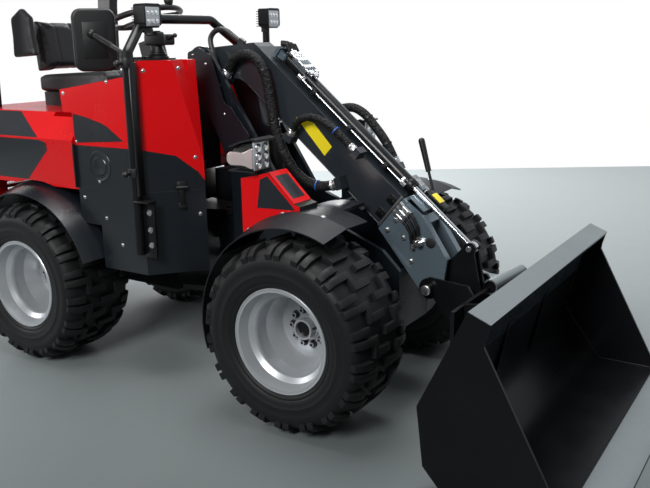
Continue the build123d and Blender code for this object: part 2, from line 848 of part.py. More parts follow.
def hose_anchor(diameter, inner_y, end, neighbour):
    """Block that stands out from the boom's side behind a hose's end, square to the hose."""
    run = Vector(end[0] - neighbour[0], end[2] - neighbour[2]).normalized()
    across = Vector(-run.Y, run.X) * (diameter / 2 + 5)
    face = Vector(end[0], end[2])
    back = face + run * anchor_depth
    s = -1 if end[1] < 0 else 1
    outer_y = abs(end[1]) + diameter / 2
    with BuildPart() as block:
        with BuildSketch(side(s * inner_y)):
            with BuildLine():
                Polyline(face + across, face - across, back - across, back + across, close=True)
            make_face()
        extrude(amount=-s * (outer_y - inner_y))
    return block.part


# Outer boom: a neck over the pivot pin and a square tube that the inner boom slides in
with BuildPart() as boom_outer:
    with BuildSketch(side(0)):
        with BuildLine():
            Polyline(
                (-790, 1350), (-790, 1470), (-540, 1490), along(boom_knee, boom_angle, 60, boom_depth / 2),
                along(boom_knee, boom_angle, 60, -boom_depth / 2), (-620, 1330), close=True,
            )
        make_face()
        with Locations(boom_pivot):
            Circle(60)
    extrude(amount=boom_neck_half, both=True)
    with BuildSketch(sloped(boom_knee, boom_angle)):
        Rectangle(boom_width, boom_depth)
    extrude(amount=boom_length)
    for s in (-1, 1):
        with BuildSketch(side(s * 38)):
            with BuildLine():
                Polyline((-512, 1150), (-545, 1330), (-430, 1290), (-450, 1150), close=True)
            make_face()
            with Locations(lift_eye):
                Circle(34)
        extrude(amount=-s * 14)
    with BuildSketch(sloped(boom_knee, boom_angle, 70)):
        Rectangle(boom_width - 2 * boom_wall, boom_depth - 2 * boom_wall)
    extrude(amount=boom_length, mode=Mode.SUBTRACT)
    with BuildSketch(side(0)):
        with Locations(boom_pivot):
            Circle(boom_pin_radius)
    extrude(amount=tower_plate_y + tower_plate_thickness + 14, both=True)
    for s in (-1, 1):
        with BuildSketch(side(s * 38)):
            with Locations(lift_eye):
                Circle(lift_pin_radius)
        extrude(amount=-s * 24)
    for diameter, start_y, end_y, route in hose_routes.values():
        add(hose_anchor(diameter, start_y, route[0], route[1]))
        add(hose_anchor(diameter, end_y, route[-1], route[-2]))
boom_outer.part.label = "boom_outer"
export_step(boom_outer.part, "parts/boom_outer.step")

for name, (diameter, start_y, end_y, route) in hose_routes.items():
    hose_part = hose(name, diameter, route)
    hose_part.label = name
    export_step(hose_part, f"parts/{name}.step")

# Inner boom with the drop head, and the bar that carries the foot of the tilt cylinder
inner_width = boom_width - 2 * boom_wall - 2 * slide_gap
inner_depth = boom_depth - 2 * boom_wall - 2 * slide_gap
head_start = boom_length + 6
head_nose = (420, 620)
bar_start = 64
bar_low = boom_depth / 2 + 5
bar_high = bar_low + 34
crank_half = 31
with BuildPart(datum) as boom_inner:
    with BuildSketch(sloped(boom_knee, boom_angle, 130)):
        Rectangle(inner_width, inner_depth)
        Rectangle(inner_width - 2 * inner_wall, inner_depth - 2 * inner_wall, mode=Mode.SUBTRACT)
    extrude(amount=head_start - 126)
    with BuildSketch(sloped(boom_knee, boom_angle, head_start)):
        with Locations((0, -6)):
            Rectangle(2 * head_half, 180)
        with Locations((48, 100)):
            Rectangle(36, 48)
    extrude(amount=head_plate)
    for s in (-1, 1):
        with BuildSketch(side(s * (head_half - head_plate))):
            with BuildLine():
                Polyline(
                    along(boom_knee, boom_angle, head_start, -96),
                    along(boom_knee, boom_angle, head_start, 84),
                    along(boom_knee, boom_angle, head_start + 110, 91),
                    head_nose, (400, 470), (350, 452), (306, 470), close=True,
                )
            make_face()
            with Locations(carrier_pivot):
                Circle(carrier_pin_radius + pin_play, mode=Mode.SUBTRACT)
        extrude(amount=-s * head_plate)
    with BuildSketch(side(0)):
        with BuildLine():
            Polyline(
                along(boom_knee, boom_angle, head_start, -96), along(boom_knee, boom_angle, head_start, -82),
                along(boom_knee, boom_angle, head_start + 235, -126),
                along(boom_knee, boom_angle, head_start + 235, -140), close=True,
            )
        make_face()
    extrude(amount=head_half, both=True)
    with BuildSketch(side(0)):
        with BuildLine():
            Polyline(
                along(boom_knee, boom_angle, head_start + 110, 91), head_nose, (414, 611),
                along(boom_knee, boom_angle, head_start + 107, 80), close=True,
            )
        make_face()
    extrude(amount=head_half, both=True)
    with BuildSketch(sloped(boom_knee, boom_angle, head_start + 145)):
        with Locations((0, 70)):
            Rectangle(2 * crank_half + 24, 120)
    extrude(amount=200, mode=Mode.SUBTRACT)
    with BuildSketch(side(32)):
        with BuildLine():
            Polyline(
                along(boom_knee, boom_angle, bar_start, bar_low),
                along(boom_knee, boom_angle, head_start + 5, bar_low),
                along(boom_knee, boom_angle, head_start + 5, bar_high),
                along(boom_knee, boom_angle, bar_start, bar_high), close=True,
            )
        make_face()
    extrude(amount=-18)
    with BuildSketch(sloped(boom_knee, boom_angle, bar_start)):
        with Locations((5, bar_low + 25)):
            Rectangle(90, 50)
    extrude(amount=16)
    for s in (-1, 1):
        with BuildSketch(side(s * 17)):
            with BuildLine():
                Polyline(
                    along(boom_knee, boom_angle, bar_start + 6, bar_low + 3),
                    along(boom_knee, boom_angle, bar_start + 46, bar_low + 14),
                    along(boom_knee, boom_angle, bar_start + 46, bar_low + 40),
                    along(boom_knee, boom_angle, bar_start + 6, bar_low + 47), close=True,
                )
            make_face()
            with Locations(tilt_foot):
                Circle(15)
        extrude(amount=-s * 14)
    with BuildSketch(side(0)):
        with Locations(tilt_foot):
            Circle(tilt_pin_radius)
    extrude(amount=crank_half + 6, both=True)
boom_inner.part.label = "boom_inner"
export_step(boom_inner.part, "parts/boom_inner.step")


def cylinder_barrel(foot, eye, radius, gland_radius, bore, length, eye_radius, pin_radius, half_width):
    """Hydraulic barrel from its foot eye towards the rod's eye, on the middle plane."""
    angle = degrees(atan2(foot[1] - eye[1], eye[0] - foot[0]))
    start = sloped(foot, angle, eye_radius - 6)
    with BuildPart() as barrel:
        with BuildSketch(start):
            Circle(radius)
        extrude(amount=length)
        with BuildSketch(start.offset(40)):
            Circle(bore)
        extrude(amount=length, mode=Mode.SUBTRACT)
        with BuildSketch(start.offset(length - 30)):
            Circle(gland_radius)
            Circle(bore, mode=Mode.SUBTRACT)
        extrude(amount=30)
        with BuildSketch(side(0)):
            with Locations(foot):
                Circle(eye_radius)
        extrude(amount=half_width, both=True)
        with BuildSketch(side(0)):
            with Locations(foot):
                Circle(pin_radius + pin_play)
        extrude(amount=half_width, both=True, mode=Mode.SUBTRACT)
    return barrel.part


def cylinder_rod(foot, eye, radius, start_run, eye_radius, half_width):
    """Piston rod that ends in a closed eye, on the middle plane."""
    angle = degrees(atan2(foot[1] - eye[1], eye[0] - foot[0]))
    length = hypot(eye[0] - foot[0], foot[1] - eye[1])
    with BuildPart() as rod:
        with BuildSketch(sloped(foot, angle, start_run)):
            Circle(radius)
        extrude(amount=length - start_run - eye_radius + 6)
        with BuildSketch(side(0)):
            with Locations(eye):
                Circle(eye_radius)
        extrude(amount=half_width, both=True)
    return rod.part


tilt_barrel = cylinder_barrel(tilt_foot, tilt_eye, 25, 27, 18, 811, 22, tilt_pin_radius, 14)
tilt_barrel.label = "tilt_barrel"
export_step(tilt_barrel, "parts/tilt_barrel.step")
tilt_rod = cylinder_rod(tilt_foot, tilt_eye, 13, 250, 24, 14)
tilt_rod.label = "tilt_rod"
export_step(tilt_rod, "parts/tilt_rod.step")
lift_barrel = cylinder_barrel(lift_foot, lift_eye, 40, 44, 31, 580, 36, lift_pin_radius, 30)
lift_barrel.label = "lift_barrel"
export_step(lift_barrel, "parts/lift_barrel.step")
lift_rod = cylinder_rod(lift_foot, lift_eye, 22, 90, 32, 30)
lift_rod.label = "lift_rod"
export_step(lift_rod, "parts/lift_rod.step")

# Steering cylinder, lying on the left under the tank
steer_angle = degrees(atan2(steer_eye[1] - steer_foot[1], steer_eye[0] - steer_foot[0]))
steer_length = hypot(steer_eye[0] - steer_foot[0], steer_eye[1] - steer_foot[1])
steer_run = Vector(cos(radians(steer_angle)), sin(radians(steer_angle)), 0)
steer_origin = Vector(front_axle_x + steer_foot[0], steer_foot[1], steer_z)
with BuildPart() as steer_barrel:
    with BuildSketch(Plane(origin=steer_origin + steer_run * 18, z_dir=steer_run)):
        RectangleRounded(36, 36, 6)
    extrude(amount=20)
    with BuildSketch(Plane(origin=steer_origin + steer_run * 34, z_dir=steer_run)):
        Circle(25)
    extrude(amount=284)
    with BuildSketch(Plane(origin=steer_origin + steer_run * 38, z_dir=steer_run)):
        Circle(18)
    extrude(amount=300, mode=Mode.SUBTRACT)
    with BuildSketch(plan(steer_z - 19)):
        with Locations(steer_foot):
            Circle(24)
    extrude(amount=38)
    with BuildSketch(plan(steer_z - 19)):
        with Locations(steer_foot):
            Circle(steer_pin_radius + pin_play)
    extrude(amount=38, mode=Mode.SUBTRACT)
steer_barrel.part.label = "steer_barrel"
export_step(steer_barrel.part, "parts/steer_barrel.step")
with BuildPart() as steer_rod:
    with BuildSketch(Plane(origin=steer_origin + steer_run * 172, z_dir=steer_run)):
        Circle(12)
    extrude(amount=steer_length - 172 - 14)
    with BuildSketch(plan(steer_z - 13)):
        with Locations(steer_eye):
            Circle(22)
    extrude(amount=26)
steer_rod.part.label = "steer_rod"
export_step(steer_rod.part, "parts/steer_rod.step")

# Levelling lever: the pin through the head with a lever on its left end
lever_eye = (308, 640)
with BuildPart(datum) as levelling_lever:
    with BuildSketch(side(0)):
        with Locations(carrier_pivot):
            Circle(carrier_pin_radius)
    extrude(amount=head_half + 46, both=True)
    with BuildSketch(side(head_half + 20)):
        with BuildLine():
            Polyline((316, 480), (288, 636), (328, 646), (386, 510), close=True)
        make_face()
        with Locations(carrier_pivot):
            Circle(36)
        with Locations(lever_eye):
            Circle(22)
            Circle(10, mode=Mode.SUBTRACT)
    extrude(amount=14)
levelling_lever.part.label = "levelling_lever"
export_step(levelling_lever.part, "parts/levelling_lever.step")

# Carrier hung on the head: two ears outside it and the crank for the tilt cylinder inside it
ear_gap = 6
with BuildPart(datum) as carrier:
    for s, gap in ((-1, ear_gap), (1, ear_gap + 20)):
        with BuildSketch(side(s * (head_half + gap))):
            with BuildLine():
                Polyline((312, 480), (350, 544), (520, 530), (561, 470), (561, 250), (530, 250), (372, 456), close=True)
            make_face()
            with Locations(carrier_pivot):
                Circle(44)
        extrude(amount=-s * 14)
    for s in (-1, 1):
        with BuildSketch(side(s * 17)):
            with BuildLine():
                Polyline(
                    (330, 480), (350, 540), (472, 676), (514, 650), (540, 520), (561, 470), (561, 260), (530, 260),
                    (372, 456), close=True,
                )
            make_face()
            with Locations(tilt_eye):
                Circle(26)
        extrude(amount=-s * (crank_half - 17))
        with BuildSketch(side(s * (crank_half - 2))):
            with Locations(tilt_eye):
                Circle(tilt_pin_radius)
        extrude(amount=-s * 8)
    with BuildSketch(side(0)):
        with Locations(carrier_pivot):
            Circle(40)
    extrude(amount=crank_half, both=True)
    with BuildSketch(cross(545)):
        with Locations((0, 370)):
            Rectangle(640, 250)
    extrude(amount=16)
    with BuildSketch(side(0)):
        with Locations(carrier_pivot):
            Circle(carrier_pin_radius + pin_play)
    extrude(amount=head_half + 60, both=True, mode=Mode.SUBTRACT)
carrier.part.label = "carrier"
export_step(carrier.part, "parts/carrier.step")

# Wide bucket with a rolled back
with BuildPart(datum) as bucket:
    with BuildSketch(side(0)):
        with BuildLine():
            FilletPolyline((1150, 5), (616, 5), (785, 645), radius=190)
        trace(line_width=bucket_plate)
    extrude(amount=bucket_half_width - 2, both=True)
    with BuildSketch(side(0)):
        with BuildLine():
            Polyline((1110, 0), (lip_x, 0), (lip_x, 3), (1226, 16), (1110, 16), close=True)
        make_face()
    extrude(amount=bucket_half_width, both=True)
    with BuildSketch(side(0)):
        with BuildLine():
            Polyline((772, 642), (778, 654), (856, 622), (852, 612), close=True)
        make_face()
    extrude(amount=bucket_half_width, both=True)
    for s in (-1, 1):
        with BuildSketch(side(s * (bucket_half_width - bucket_side_plate))):
            with BuildLine():
                Polyline(
                    (1124, 0), (691, 0), (628, 70), (603, 288), (724, 540), (776, 652), (853, 616), (834, 547),
                    (1060, 122), close=True,
                )
            make_face()
        extrude(amount=-s * bucket_side_plate)
    for y in (-220, 220):
        with BuildSketch(side(y)):
            with BuildLine():
                Polyline((562, 500), (562, 150), (640, 60), (700, 240), (760, 545), (700, 520), close=True)
            make_face()
        extrude(amount=10, both=True)
bucket.part.label = "bucket"
export_step(bucket.part, "parts/bucket.step")
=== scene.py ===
import json
import logging
from dataclasses import dataclass
from enum import Enum
from functools import cache, cached_property
from math import cos, hypot, pi, radians, sin
from typing import Callable, Sequence

import bmesh
import bpy
from mathutils import Matrix, Vector


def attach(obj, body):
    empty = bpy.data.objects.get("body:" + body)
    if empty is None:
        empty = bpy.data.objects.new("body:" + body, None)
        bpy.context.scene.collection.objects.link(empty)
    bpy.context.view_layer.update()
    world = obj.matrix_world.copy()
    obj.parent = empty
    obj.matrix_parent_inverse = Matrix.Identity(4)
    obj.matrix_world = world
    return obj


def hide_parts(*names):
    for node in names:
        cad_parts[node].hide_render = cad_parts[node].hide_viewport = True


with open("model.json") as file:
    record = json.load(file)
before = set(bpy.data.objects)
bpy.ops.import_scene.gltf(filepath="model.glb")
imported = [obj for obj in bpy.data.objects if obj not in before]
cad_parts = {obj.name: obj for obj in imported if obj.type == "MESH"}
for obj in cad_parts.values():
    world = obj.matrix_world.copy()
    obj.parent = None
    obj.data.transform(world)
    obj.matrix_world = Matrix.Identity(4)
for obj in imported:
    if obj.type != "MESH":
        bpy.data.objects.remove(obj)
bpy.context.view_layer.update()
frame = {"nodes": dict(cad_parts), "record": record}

logging.basicConfig(level=logging.INFO, format="%(name)s: %(message)s")
log = logging.getLogger("loader")

Point = tuple[float, float, float]
Outline = tuple[tuple[float, float], ...]

# Places of the axles and wheels, in metres; FRONT_X is where the drawing's X starts
FRONT_X = 0.452
AXLES = {"front": 0.0, "rear": -1.518}
WHEEL_Z = 0.384
WHEEL_Y = 0.504
HANDS = {"right": -1, "left": 1}
UP = Vector((0.0, 0.0, 1.0))
AHEAD = Vector((1.0, 0.0, 0.0))


def at(x: float, y: float, z: float) -> Vector:
    """Turn drawing millimetres, with X from the front axle, into a place in the frame.

    Args:
        x: Distance ahead of the front axle.
        y: Distance to the driver's left.
        z: Height over the ground.

    Returns:
        The place in metres.
    """
    return Vector((FRONT_X + x / 1000, y / 1000, z / 1000))


def sideways(s: int) -> Vector:
    """Direction out of the machine on a side, from its sign in HANDS."""
    return Vector((0.0, s, 0.0))


class Body(str, Enum):
    """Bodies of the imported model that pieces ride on."""

    CHASSIS = "chassis"
    TAIL = "tail"
    FRONT = "front"
    BOOM = "boom"
    INNER = "inner"
    LEVER = "lever"
    TOOL = "tool"
    WHEEL_FRONT_RIGHT = "wheel_front_right"
    WHEEL_FRONT_LEFT = "wheel_front_left"
    WHEEL_REAR_RIGHT = "wheel_rear_right"
    WHEEL_REAR_LEFT = "wheel_rear_left"


# Shader groups


class Graph:
    """Small helper that adds and joins the nodes of one material or group."""

    def __init__(self, tree: bpy.types.NodeTree) -> None:
        """Work on a node tree."""
        self.tree = tree

    def feed(self, socket: bpy.types.NodeSocket, value: object) -> None:
        """Join an input to an output socket, or set it to a plain value.

        Args:
            socket: The input.
            value: Output socket or value for it.
        """
        if isinstance(value, bpy.types.NodeSocket):
            self.tree.links.new(value, socket)
        else:
            socket.default_value = value

    def add(self, kind: str, links: dict[str | int, object] | None = None, **settings: object) -> bpy.types.Node:
        """Add a node and join or set its inputs.

        Args:
            kind: Blender's name of the node type.
            links: Input name or index to an output socket or a plain value.
            settings: Properties of the node itself.

        Returns:
            The new node.
        """
        node = self.tree.nodes.new(kind)
        for name, value in settings.items():
            setattr(node, name, value)
        for name, value in (links or {}).items():
            self.feed(node.inputs[name], value)
        return node

    def place(self) -> bpy.types.NodeSocket:
        """Object coordinates."""
        return self.add("ShaderNodeTexCoord").outputs["Object"]

    def noise(self, vector: bpy.types.NodeSocket, scale: object, detail: float, rough: float = 0.5,
              distortion: float = 0.0) -> bpy.types.NodeSocket:
        """Noise factor at a scale.

        Args:
            vector: Where the noise is read.
            scale: Repeats for each metre, a value or a socket.
            detail: Octaves of the noise.
            rough: Weight of the finer octaves.
            distortion: How far the noise is bent.

        Returns:
            The factor output.
        """
        return self.add("ShaderNodeTexNoise", {"Vector": vector, "Scale": scale, "Detail": detail,
                                               "Roughness": rough, "Distortion": distortion}).outputs["Fac"]

    def remap(self, value: bpy.types.NodeSocket, low: float, high: float, out_low: float = 0.0,
              out_high: float = 1.0) -> bpy.types.NodeSocket:
        """Stretch a value from one range to another, held at the ends.

        Args:
            value: The value to stretch.
            low: Value that gives out_low.
            high: Value that gives out_high.
            out_low: Result at the low end.
            out_high: Result at the high end.

        Returns:
            The stretched value.
        """
        return self.add("ShaderNodeMapRange", {"Value": value, "From Min": low, "From Max": high,
                                               "To Min": out_low, "To Max": out_high}).outputs["Result"]

    def math(self, operation: str, a: object, b: object, clamp: bool = True) -> bpy.types.NodeSocket:
        """One Math node.

        Args:
            operation: Blender's name of the operation.
            a: First operand.
            b: Second operand.
            clamp: Whether the result is held between 0 and 1.

        Returns:
            The result.
        """
        return self.add("ShaderNodeMath", {0: a, 1: b}, operation=operation, use_clamp=clamp).outputs[0]

    def weave(self, threads: float) -> bpy.types.NodeSocket:
        """Height of two crossing sets of threads.

        Args:
            threads: Threads in each metre.

        Returns:
            The height, from 0 in the gaps to 1 on the threads.
        """
        place = self.place()
        first, second = (self.add("ShaderNodeTexWave", {"Vector": place, "Scale": threads / 6.0, "Distortion": 0.6,
                                                        "Detail": 1.0}, wave_type="BANDS", bands_direction=axis)
                         for axis in ("X", "Z"))
        return self.math("MULTIPLY", first.outputs["Fac"], second.outputs["Fac"])

    def mix(self, factor: object, a: object, b: object) -> bpy.types.NodeSocket:
        """Blend two colours.

        Args:
            factor: 0 for the first, 1 for the second.
            a: First colour.
            b: Second colour.

        Returns:
            The blended colour.
        """
        node = self.add("ShaderNodeMix", data_type="RGBA")
        for socket, value in zip((node.inputs["Factor"], node.inputs[6], node.inputs[7]), (factor, a, b)):
            self.feed(socket, value)
        return node.outputs[2]

    def bump(self, height: bpy.types.NodeSocket, strength: float, distance: float,
             under: bpy.types.NodeSocket | None = None) -> bpy.types.NodeSocket:
        """Bend the normal by a height.

        Args:
            height: The height.
            strength: Share of the effect that is used.
            distance: Depth of the relief in metres.
            under: Normal of a coarser relief below this one.

        Returns:
            The bent normal.
        """
        links = {"Height": height, "Strength": strength, "Distance": distance}
        if under is not None:
            links["Normal"] = under
        return self.add("ShaderNodeBump", links).outputs["Normal"]


def rgba(colour: Point) -> tuple[float, float, float, float]:
    """Colour with full alpha, as a colour socket wants it."""
    return (*colour, 1.0)


class ShaderGroups:
    """Effects that several materials share, each built once as a node group."""

    @staticmethod
    def open(name: str, inputs: dict[str, object], outputs: dict[str, str]) -> tuple[Graph, dict, dict]:
        """Make an empty group with named sockets.

        Args:
            name: Name of the group.
            inputs: Name and default value of each input.
            outputs: Name and socket type of each output.

        Returns:
            The group's helper, the sockets that its inputs arrive on and the ones that its outputs leave by.
        """
        tree = bpy.data.node_groups.new(name, "ShaderNodeTree")
        for label, default in inputs.items():
            kind = "NodeSocketFloat" if isinstance(default, float) else "NodeSocketColor"
            tree.interface.new_socket(name=label, in_out="INPUT", socket_type=kind).default_value = default
        for label, kind in outputs.items():
            tree.interface.new_socket(name=label, in_out="OUTPUT", socket_type=kind)
        graph = Graph(tree)
        return graph, graph.add("NodeGroupInput").outputs, graph.add("NodeGroupOutput").inputs

    @cached_property
    def surface_dust(self) -> bpy.types.NodeTree:
        """Thin dust and handling marks over a base colour.

        Returns:
            The group, with a colour and a roughness out.
        """
        graph, given, out = self.open(
            "surface_dust",
            {"Base": (0.5, 0.5, 0.5, 1.0), "Dust": (0.3, 0.28, 0.25, 1.0), "Amount": 0.1, "Gloss": 0.3, "Spread": 0.1},
            {"Colour": "NodeSocketColor", "Roughness": "NodeSocketFloat"})
        place = graph.place()
        broad = graph.noise(place, scale=3.2, detail=5.0, rough=0.62)
        fine = graph.noise(place, scale=38.0, detail=6.0, rough=0.7)
        normal = graph.add("ShaderNodeSeparateXYZ", {0: graph.add("ShaderNodeTexCoord").outputs["Normal"]})
        upward = graph.remap(normal.outputs["Z"], 0.2, 1.0, 0.35, 1.0)
        specks = graph.math("MULTIPLY", graph.remap(fine, 0.48, 0.66), 0.35)
        cover = graph.math("ADD", graph.remap(broad, 0.42, 0.72), specks)
        mask = graph.math("MULTIPLY", graph.math("MULTIPLY", cover, upward), given["Amount"])
        graph.feed(out["Colour"], graph.mix(mask, given["Base"], given["Dust"]))
        swing = graph.math("MULTIPLY", graph.remap(broad, 0.3, 0.7, -0.5, 0.5), given["Spread"], clamp=False)
        rough = graph.math("ADD", given["Gloss"], swing)
        graph.feed(out["Roughness"], graph.math("ADD", rough, graph.math("MULTIPLY", mask, 0.6)))
        return graph.tree

    @cached_property
    def fine_relief(self) -> bpy.types.NodeTree:
        """Fine moulded or sprayed surface: ripples and grain added up.

        Returns:
            The group, with a height out.
        """
        graph, given, out = self.open(
            "fine_relief", {"Grain Scale": 900.0, "Grain": 0.5, "Ripple Scale": 120.0, "Ripple": 0.5},
            {"Height": "NodeSocketFloat"})
        place = graph.place()
        heights = (graph.math("MULTIPLY", graph.noise(place, given[f"{kind} Scale"], detail), given[kind], clamp=False)
                   for kind, detail in (("Grain", 2.0), ("Ripple", 1.0)))
        graph.feed(out["Height"], graph.math("ADD", *heights, clamp=False))
        return graph.tree

    @cached_property
    def leather_cells(self) -> bpy.types.NodeTree:
        """Pebbled vinyl: creases between cells, worn in places.

        Returns:
            The group, with a height out.
        """
        graph, given, out = self.open("leather_cells", {"Scale": 420.0}, {"Height": "NodeSocketFloat"})
        place = graph.place()
        cells = graph.add("ShaderNodeTexVoronoi", {"Vector": place, "Scale": given["Scale"]},
                          feature="DISTANCE_TO_EDGE")
        crease = graph.remap(cells.outputs["Distance"], 0.0, 0.22)
        worn = graph.remap(graph.noise(place, scale=60.0, detail=3.0), 0.2, 0.8, 0.75, 1.0)
        graph.feed(out["Height"], graph.math("MULTIPLY", crease, worn))
        return graph.tree


groups = ShaderGroups()


# Finishes


@dataclass(frozen=True)
class Finish:
    """Sprayed, cast or moulded surface with dust and fine relief."""

    name: str
    slot: str
    colour: Point
    gloss: float = 0.3
    spread: float = 0.1
    dust: Point = (0.32, 0.31, 0.29)
    dusty: float = 0.08
    metal: float = 0.0
    coat: float = 0.0
    coat_gloss: float = 0.08
    specular: float = 0.5
    relief: float = 0.05
    grain_scale: float = 900.0
    grain: float = 0.5
    ripple_scale: float = 120.0
    ripple: float = 0.5

    @cache
    def build(self) -> bpy.types.Material:
        """Make the material once.

        Returns:
            The material, the same one on later calls.
        """
        material = bpy.data.materials.new(self.name)
        material.use_nodes = True
        material.diffuse_color = rgba(self.colour)
        material.node_tree.nodes.clear()
        graph = Graph(material.node_tree)
        surface = graph.add("ShaderNodeGroup", node_tree=groups.surface_dust)
        for name, value in (("Base", rgba(self.colour)), ("Dust", rgba(self.dust)), ("Amount", self.dusty),
                            ("Gloss", self.gloss), ("Spread", self.spread)):
            surface.inputs[name].default_value = value
        shader = graph.add("ShaderNodeBsdfPrincipled", {
            "Base Color": self.tint_and_painted_light(graph, surface.outputs["Colour"]), "Roughness": surface.outputs["Roughness"],
            "Normal": self.normal(graph), "Metallic": self.metal, "Coat Weight": self.coat,
            "Coat Roughness": self.coat_gloss, "Specular IOR Level": self.specular})
        graph.add("ShaderNodeOutputMaterial", {"Surface": shader.outputs["BSDF"]})
        return material

    def tint_and_painted_light(self, graph: Graph, colour: bpy.types.NodeSocket) -> bpy.types.NodeSocket:
        """Colour after the finish's own marks, painted light and painted shade; plain finishes have none."""
        return colour

    def normal(self, graph: Graph) -> bpy.types.NodeSocket:
        """Normal bent by the surface's grain and ripples.

        Args:
            graph: Helper of the material.

        Returns:
            The bent normal.
        """
        relief = graph.add("ShaderNodeGroup", node_tree=groups.fine_relief)
        for name, value in (("Grain Scale", self.grain_scale), ("Grain", self.grain),
                            ("Ripple Scale", self.ripple_scale), ("Ripple", self.ripple)):
            relief.inputs[name].default_value = value
        return graph.bump(relief.outputs["Height"], self.relief, 0.001)


@dataclass(frozen=True)
class Sleeve(Finish):
    """Woven textile sleeve: two crossing sets of threads in the relief, with painted shade darkening the gaps between
    them, over wide folds.
    """

    threads: float = 260.0

    def tint_and_painted_light(self, graph: Graph, colour: bpy.types.NodeSocket) -> bpy.types.NodeSocket:
        """Painted shade: darken the gaps between the threads."""
        return graph.mix(graph.remap(graph.weave(self.threads), 0.2, 0.8, 0.55, 0.0), colour, rgba((0.001,) * 3))

    def normal(self, graph: Graph) -> bpy.types.NodeSocket:
        """Normal bent by the folds and the threads."""
        folds = graph.bump(graph.noise(graph.place(), scale=46.0, detail=2.5, distortion=1.4), 1.0, 0.014)
        return graph.bump(graph.weave(self.threads), 0.6, 0.001, under=folds)


@dataclass(frozen=True)
class PaintedLightFloor(Finish):
    """Sealed studio floor with painted shade near and painted light far: it grows paler towards the far wall."""

    # far is the pale colour at the far end, painted light; the finish's own colour is the dark near end, painted shade.
    far: Point = (0.62, 0.67, 0.67)
    heading: Point = (-0.543, 0.840, 0.0)
    near_edge: float = -2.0
    far_edge: float = 5.5

    def tint_and_painted_light(self, graph: Graph, colour: bpy.types.NodeSocket) -> bpy.types.NodeSocket:
        """Painted light: blend from the dark near colour to the pale far one along the floor, standing in for how the
        lamps light the room.

        Args:
            graph: Helper of the material.
            colour: The near colour, darkened as painted shade.

        Returns:
            The blended colour.
        """
        along = graph.add("ShaderNodeVectorMath", {0: graph.place(), 1: self.heading}, operation="DOT_PRODUCT")
        share = graph.remap(along.outputs["Value"], self.near_edge, self.far_edge)
        return graph.mix(share, colour, rgba(self.far))


@dataclass(frozen=True)
class Leather(Finish):
    """Pebbled vinyl of the seat."""

    cells: float = 420.0

    def normal(self, graph: Graph) -> bpy.types.NodeSocket:
        """Normal bent by the pebbles.

        Args:
            graph: Helper of the material.

        Returns:
            The bent normal.
        """
        pebbles = graph.add("ShaderNodeGroup", node_tree=groups.leather_cells)
        pebbles.inputs["Scale"].default_value = self.cells
        return graph.bump(pebbles.outputs["Height"], 0.35, 0.0008)


RED_PAINT = Finish("red_paint", "red_paint", (0.62, 0.002, 0.004), gloss=0.26, spread=0.05, coat=0.18,
                   coat_gloss=0.05, specular=0.25, dusty=0.015, relief=0.04, grain=0.1, ripple_scale=160.0)
GREY_PAINT = Finish("grey_paint", "grey_paint", (0.0055, 0.0085, 0.012), spread=0.08, coat=0.2, coat_gloss=0.12,
                    dusty=0.015, grain=0.2, ripple_scale=150.0)
BLACK_PAINT = Finish("black_paint", "black_paint", (0.0032, 0.0034, 0.0042), gloss=0.34, spread=0.12, coat=0.12,
                     coat_gloss=0.12, specular=0.3, dusty=0.015, relief=0.06, grain=0.3)
BUCKET_BLACK = Finish("bucket_black", "black_paint", (0.0056, 0.0060, 0.0072), specular=0.14, dusty=0.008, grain=0.3)
BOOM_GREY = Finish("boom_grey", "grey_paint", (0.017, 0.022, 0.027), spread=0.08, coat=0.3, coat_gloss=0.12,
                   dusty=0.03, grain=0.2, ripple_scale=150.0)
FENDER_BLACK = Finish("fender_black", "grey_paint", (0.0050, 0.0066, 0.0092), gloss=0.44, spread=0.08,
                      specular=0.32, dusty=0.02, relief=0.2, grain_scale=800.0)
HEAD_GREY = Finish("head_grey", "chrome", (0.12, 0.16, 0.19), gloss=0.26, spread=0.12, metal=0.35, coat=0.3,
                   dusty=0.06, relief=0.08)
IRON = Finish("cast_iron", "iron", (0.03, 0.031, 0.034), gloss=0.55, spread=0.2, metal=0.3, relief=0.5,
              grain_scale=420.0)
RIM_SILVER = Finish("rim_silver", "rim_silver", (0.46, 0.48, 0.50), gloss=0.34, metal=0.55, grain_scale=1400.0,
                    grain=0.3)
RUBBER = Finish("tyre_rubber", "tyre", (0.0062, 0.0068, 0.0074), gloss=0.5, spread=0.16,
                dust=(0.040, 0.036, 0.032), dusty=0.16, specular=0.26, relief=0.25, grain_scale=700.0)
PLASTIC = Finish("textured_plastic", "plastic", (0.0052, 0.0054, 0.0062), gloss=0.42, dusty=0.02, relief=0.35,
                 grain_scale=1100.0, grain=1.0)
CHROME = Finish("hard_chrome", "chrome", (0.72, 0.73, 0.75), gloss=0.1, spread=0.04, metal=1.0, dusty=0.03,
                relief=0.01)
ZINC = Finish("zinc_plated", "chrome", (0.62, 0.63, 0.64), gloss=0.28, spread=0.14, metal=0.95, dusty=0.06,
              relief=0.1, grain_scale=1300.0)
STEEL = Finish("worn_steel", "chrome", (0.28, 0.31, 0.32), gloss=0.34, spread=0.2, metal=0.75, dusty=0.10,
               dust=(0.20, 0.20, 0.19), relief=0.15)
LAMP_SHELL = Finish("lamp_shell", "lamp", (0.02, 0.021, 0.023), relief=0.08)
NUT_BLACK = Finish("nut_black", "black_paint", (0.012, 0.012, 0.014), gloss=0.32, spread=0.16, metal=0.4,
                   relief=0.08)
DECAL = Finish("decal_foil", "grey_paint", (0.010, 0.012, 0.016), gloss=0.26, spread=0.05, coat=0.3, dusty=0.03,
               relief=0.02)
SEAM_BLACK = Finish("seam_black", "plastic", (0.004, 0.004, 0.005), gloss=0.7, dusty=0.0)
YELLOW_PLATE = Finish("yellow_plate", "grey_paint", (0.90, 0.72, 0.012), spread=0.05, coat=0.3, dusty=0.05,
                      relief=0.02)
TIE_BLUE = Finish("tie_blue", "plastic", (0.02, 0.10, 0.40), gloss=0.4, dusty=0.06)
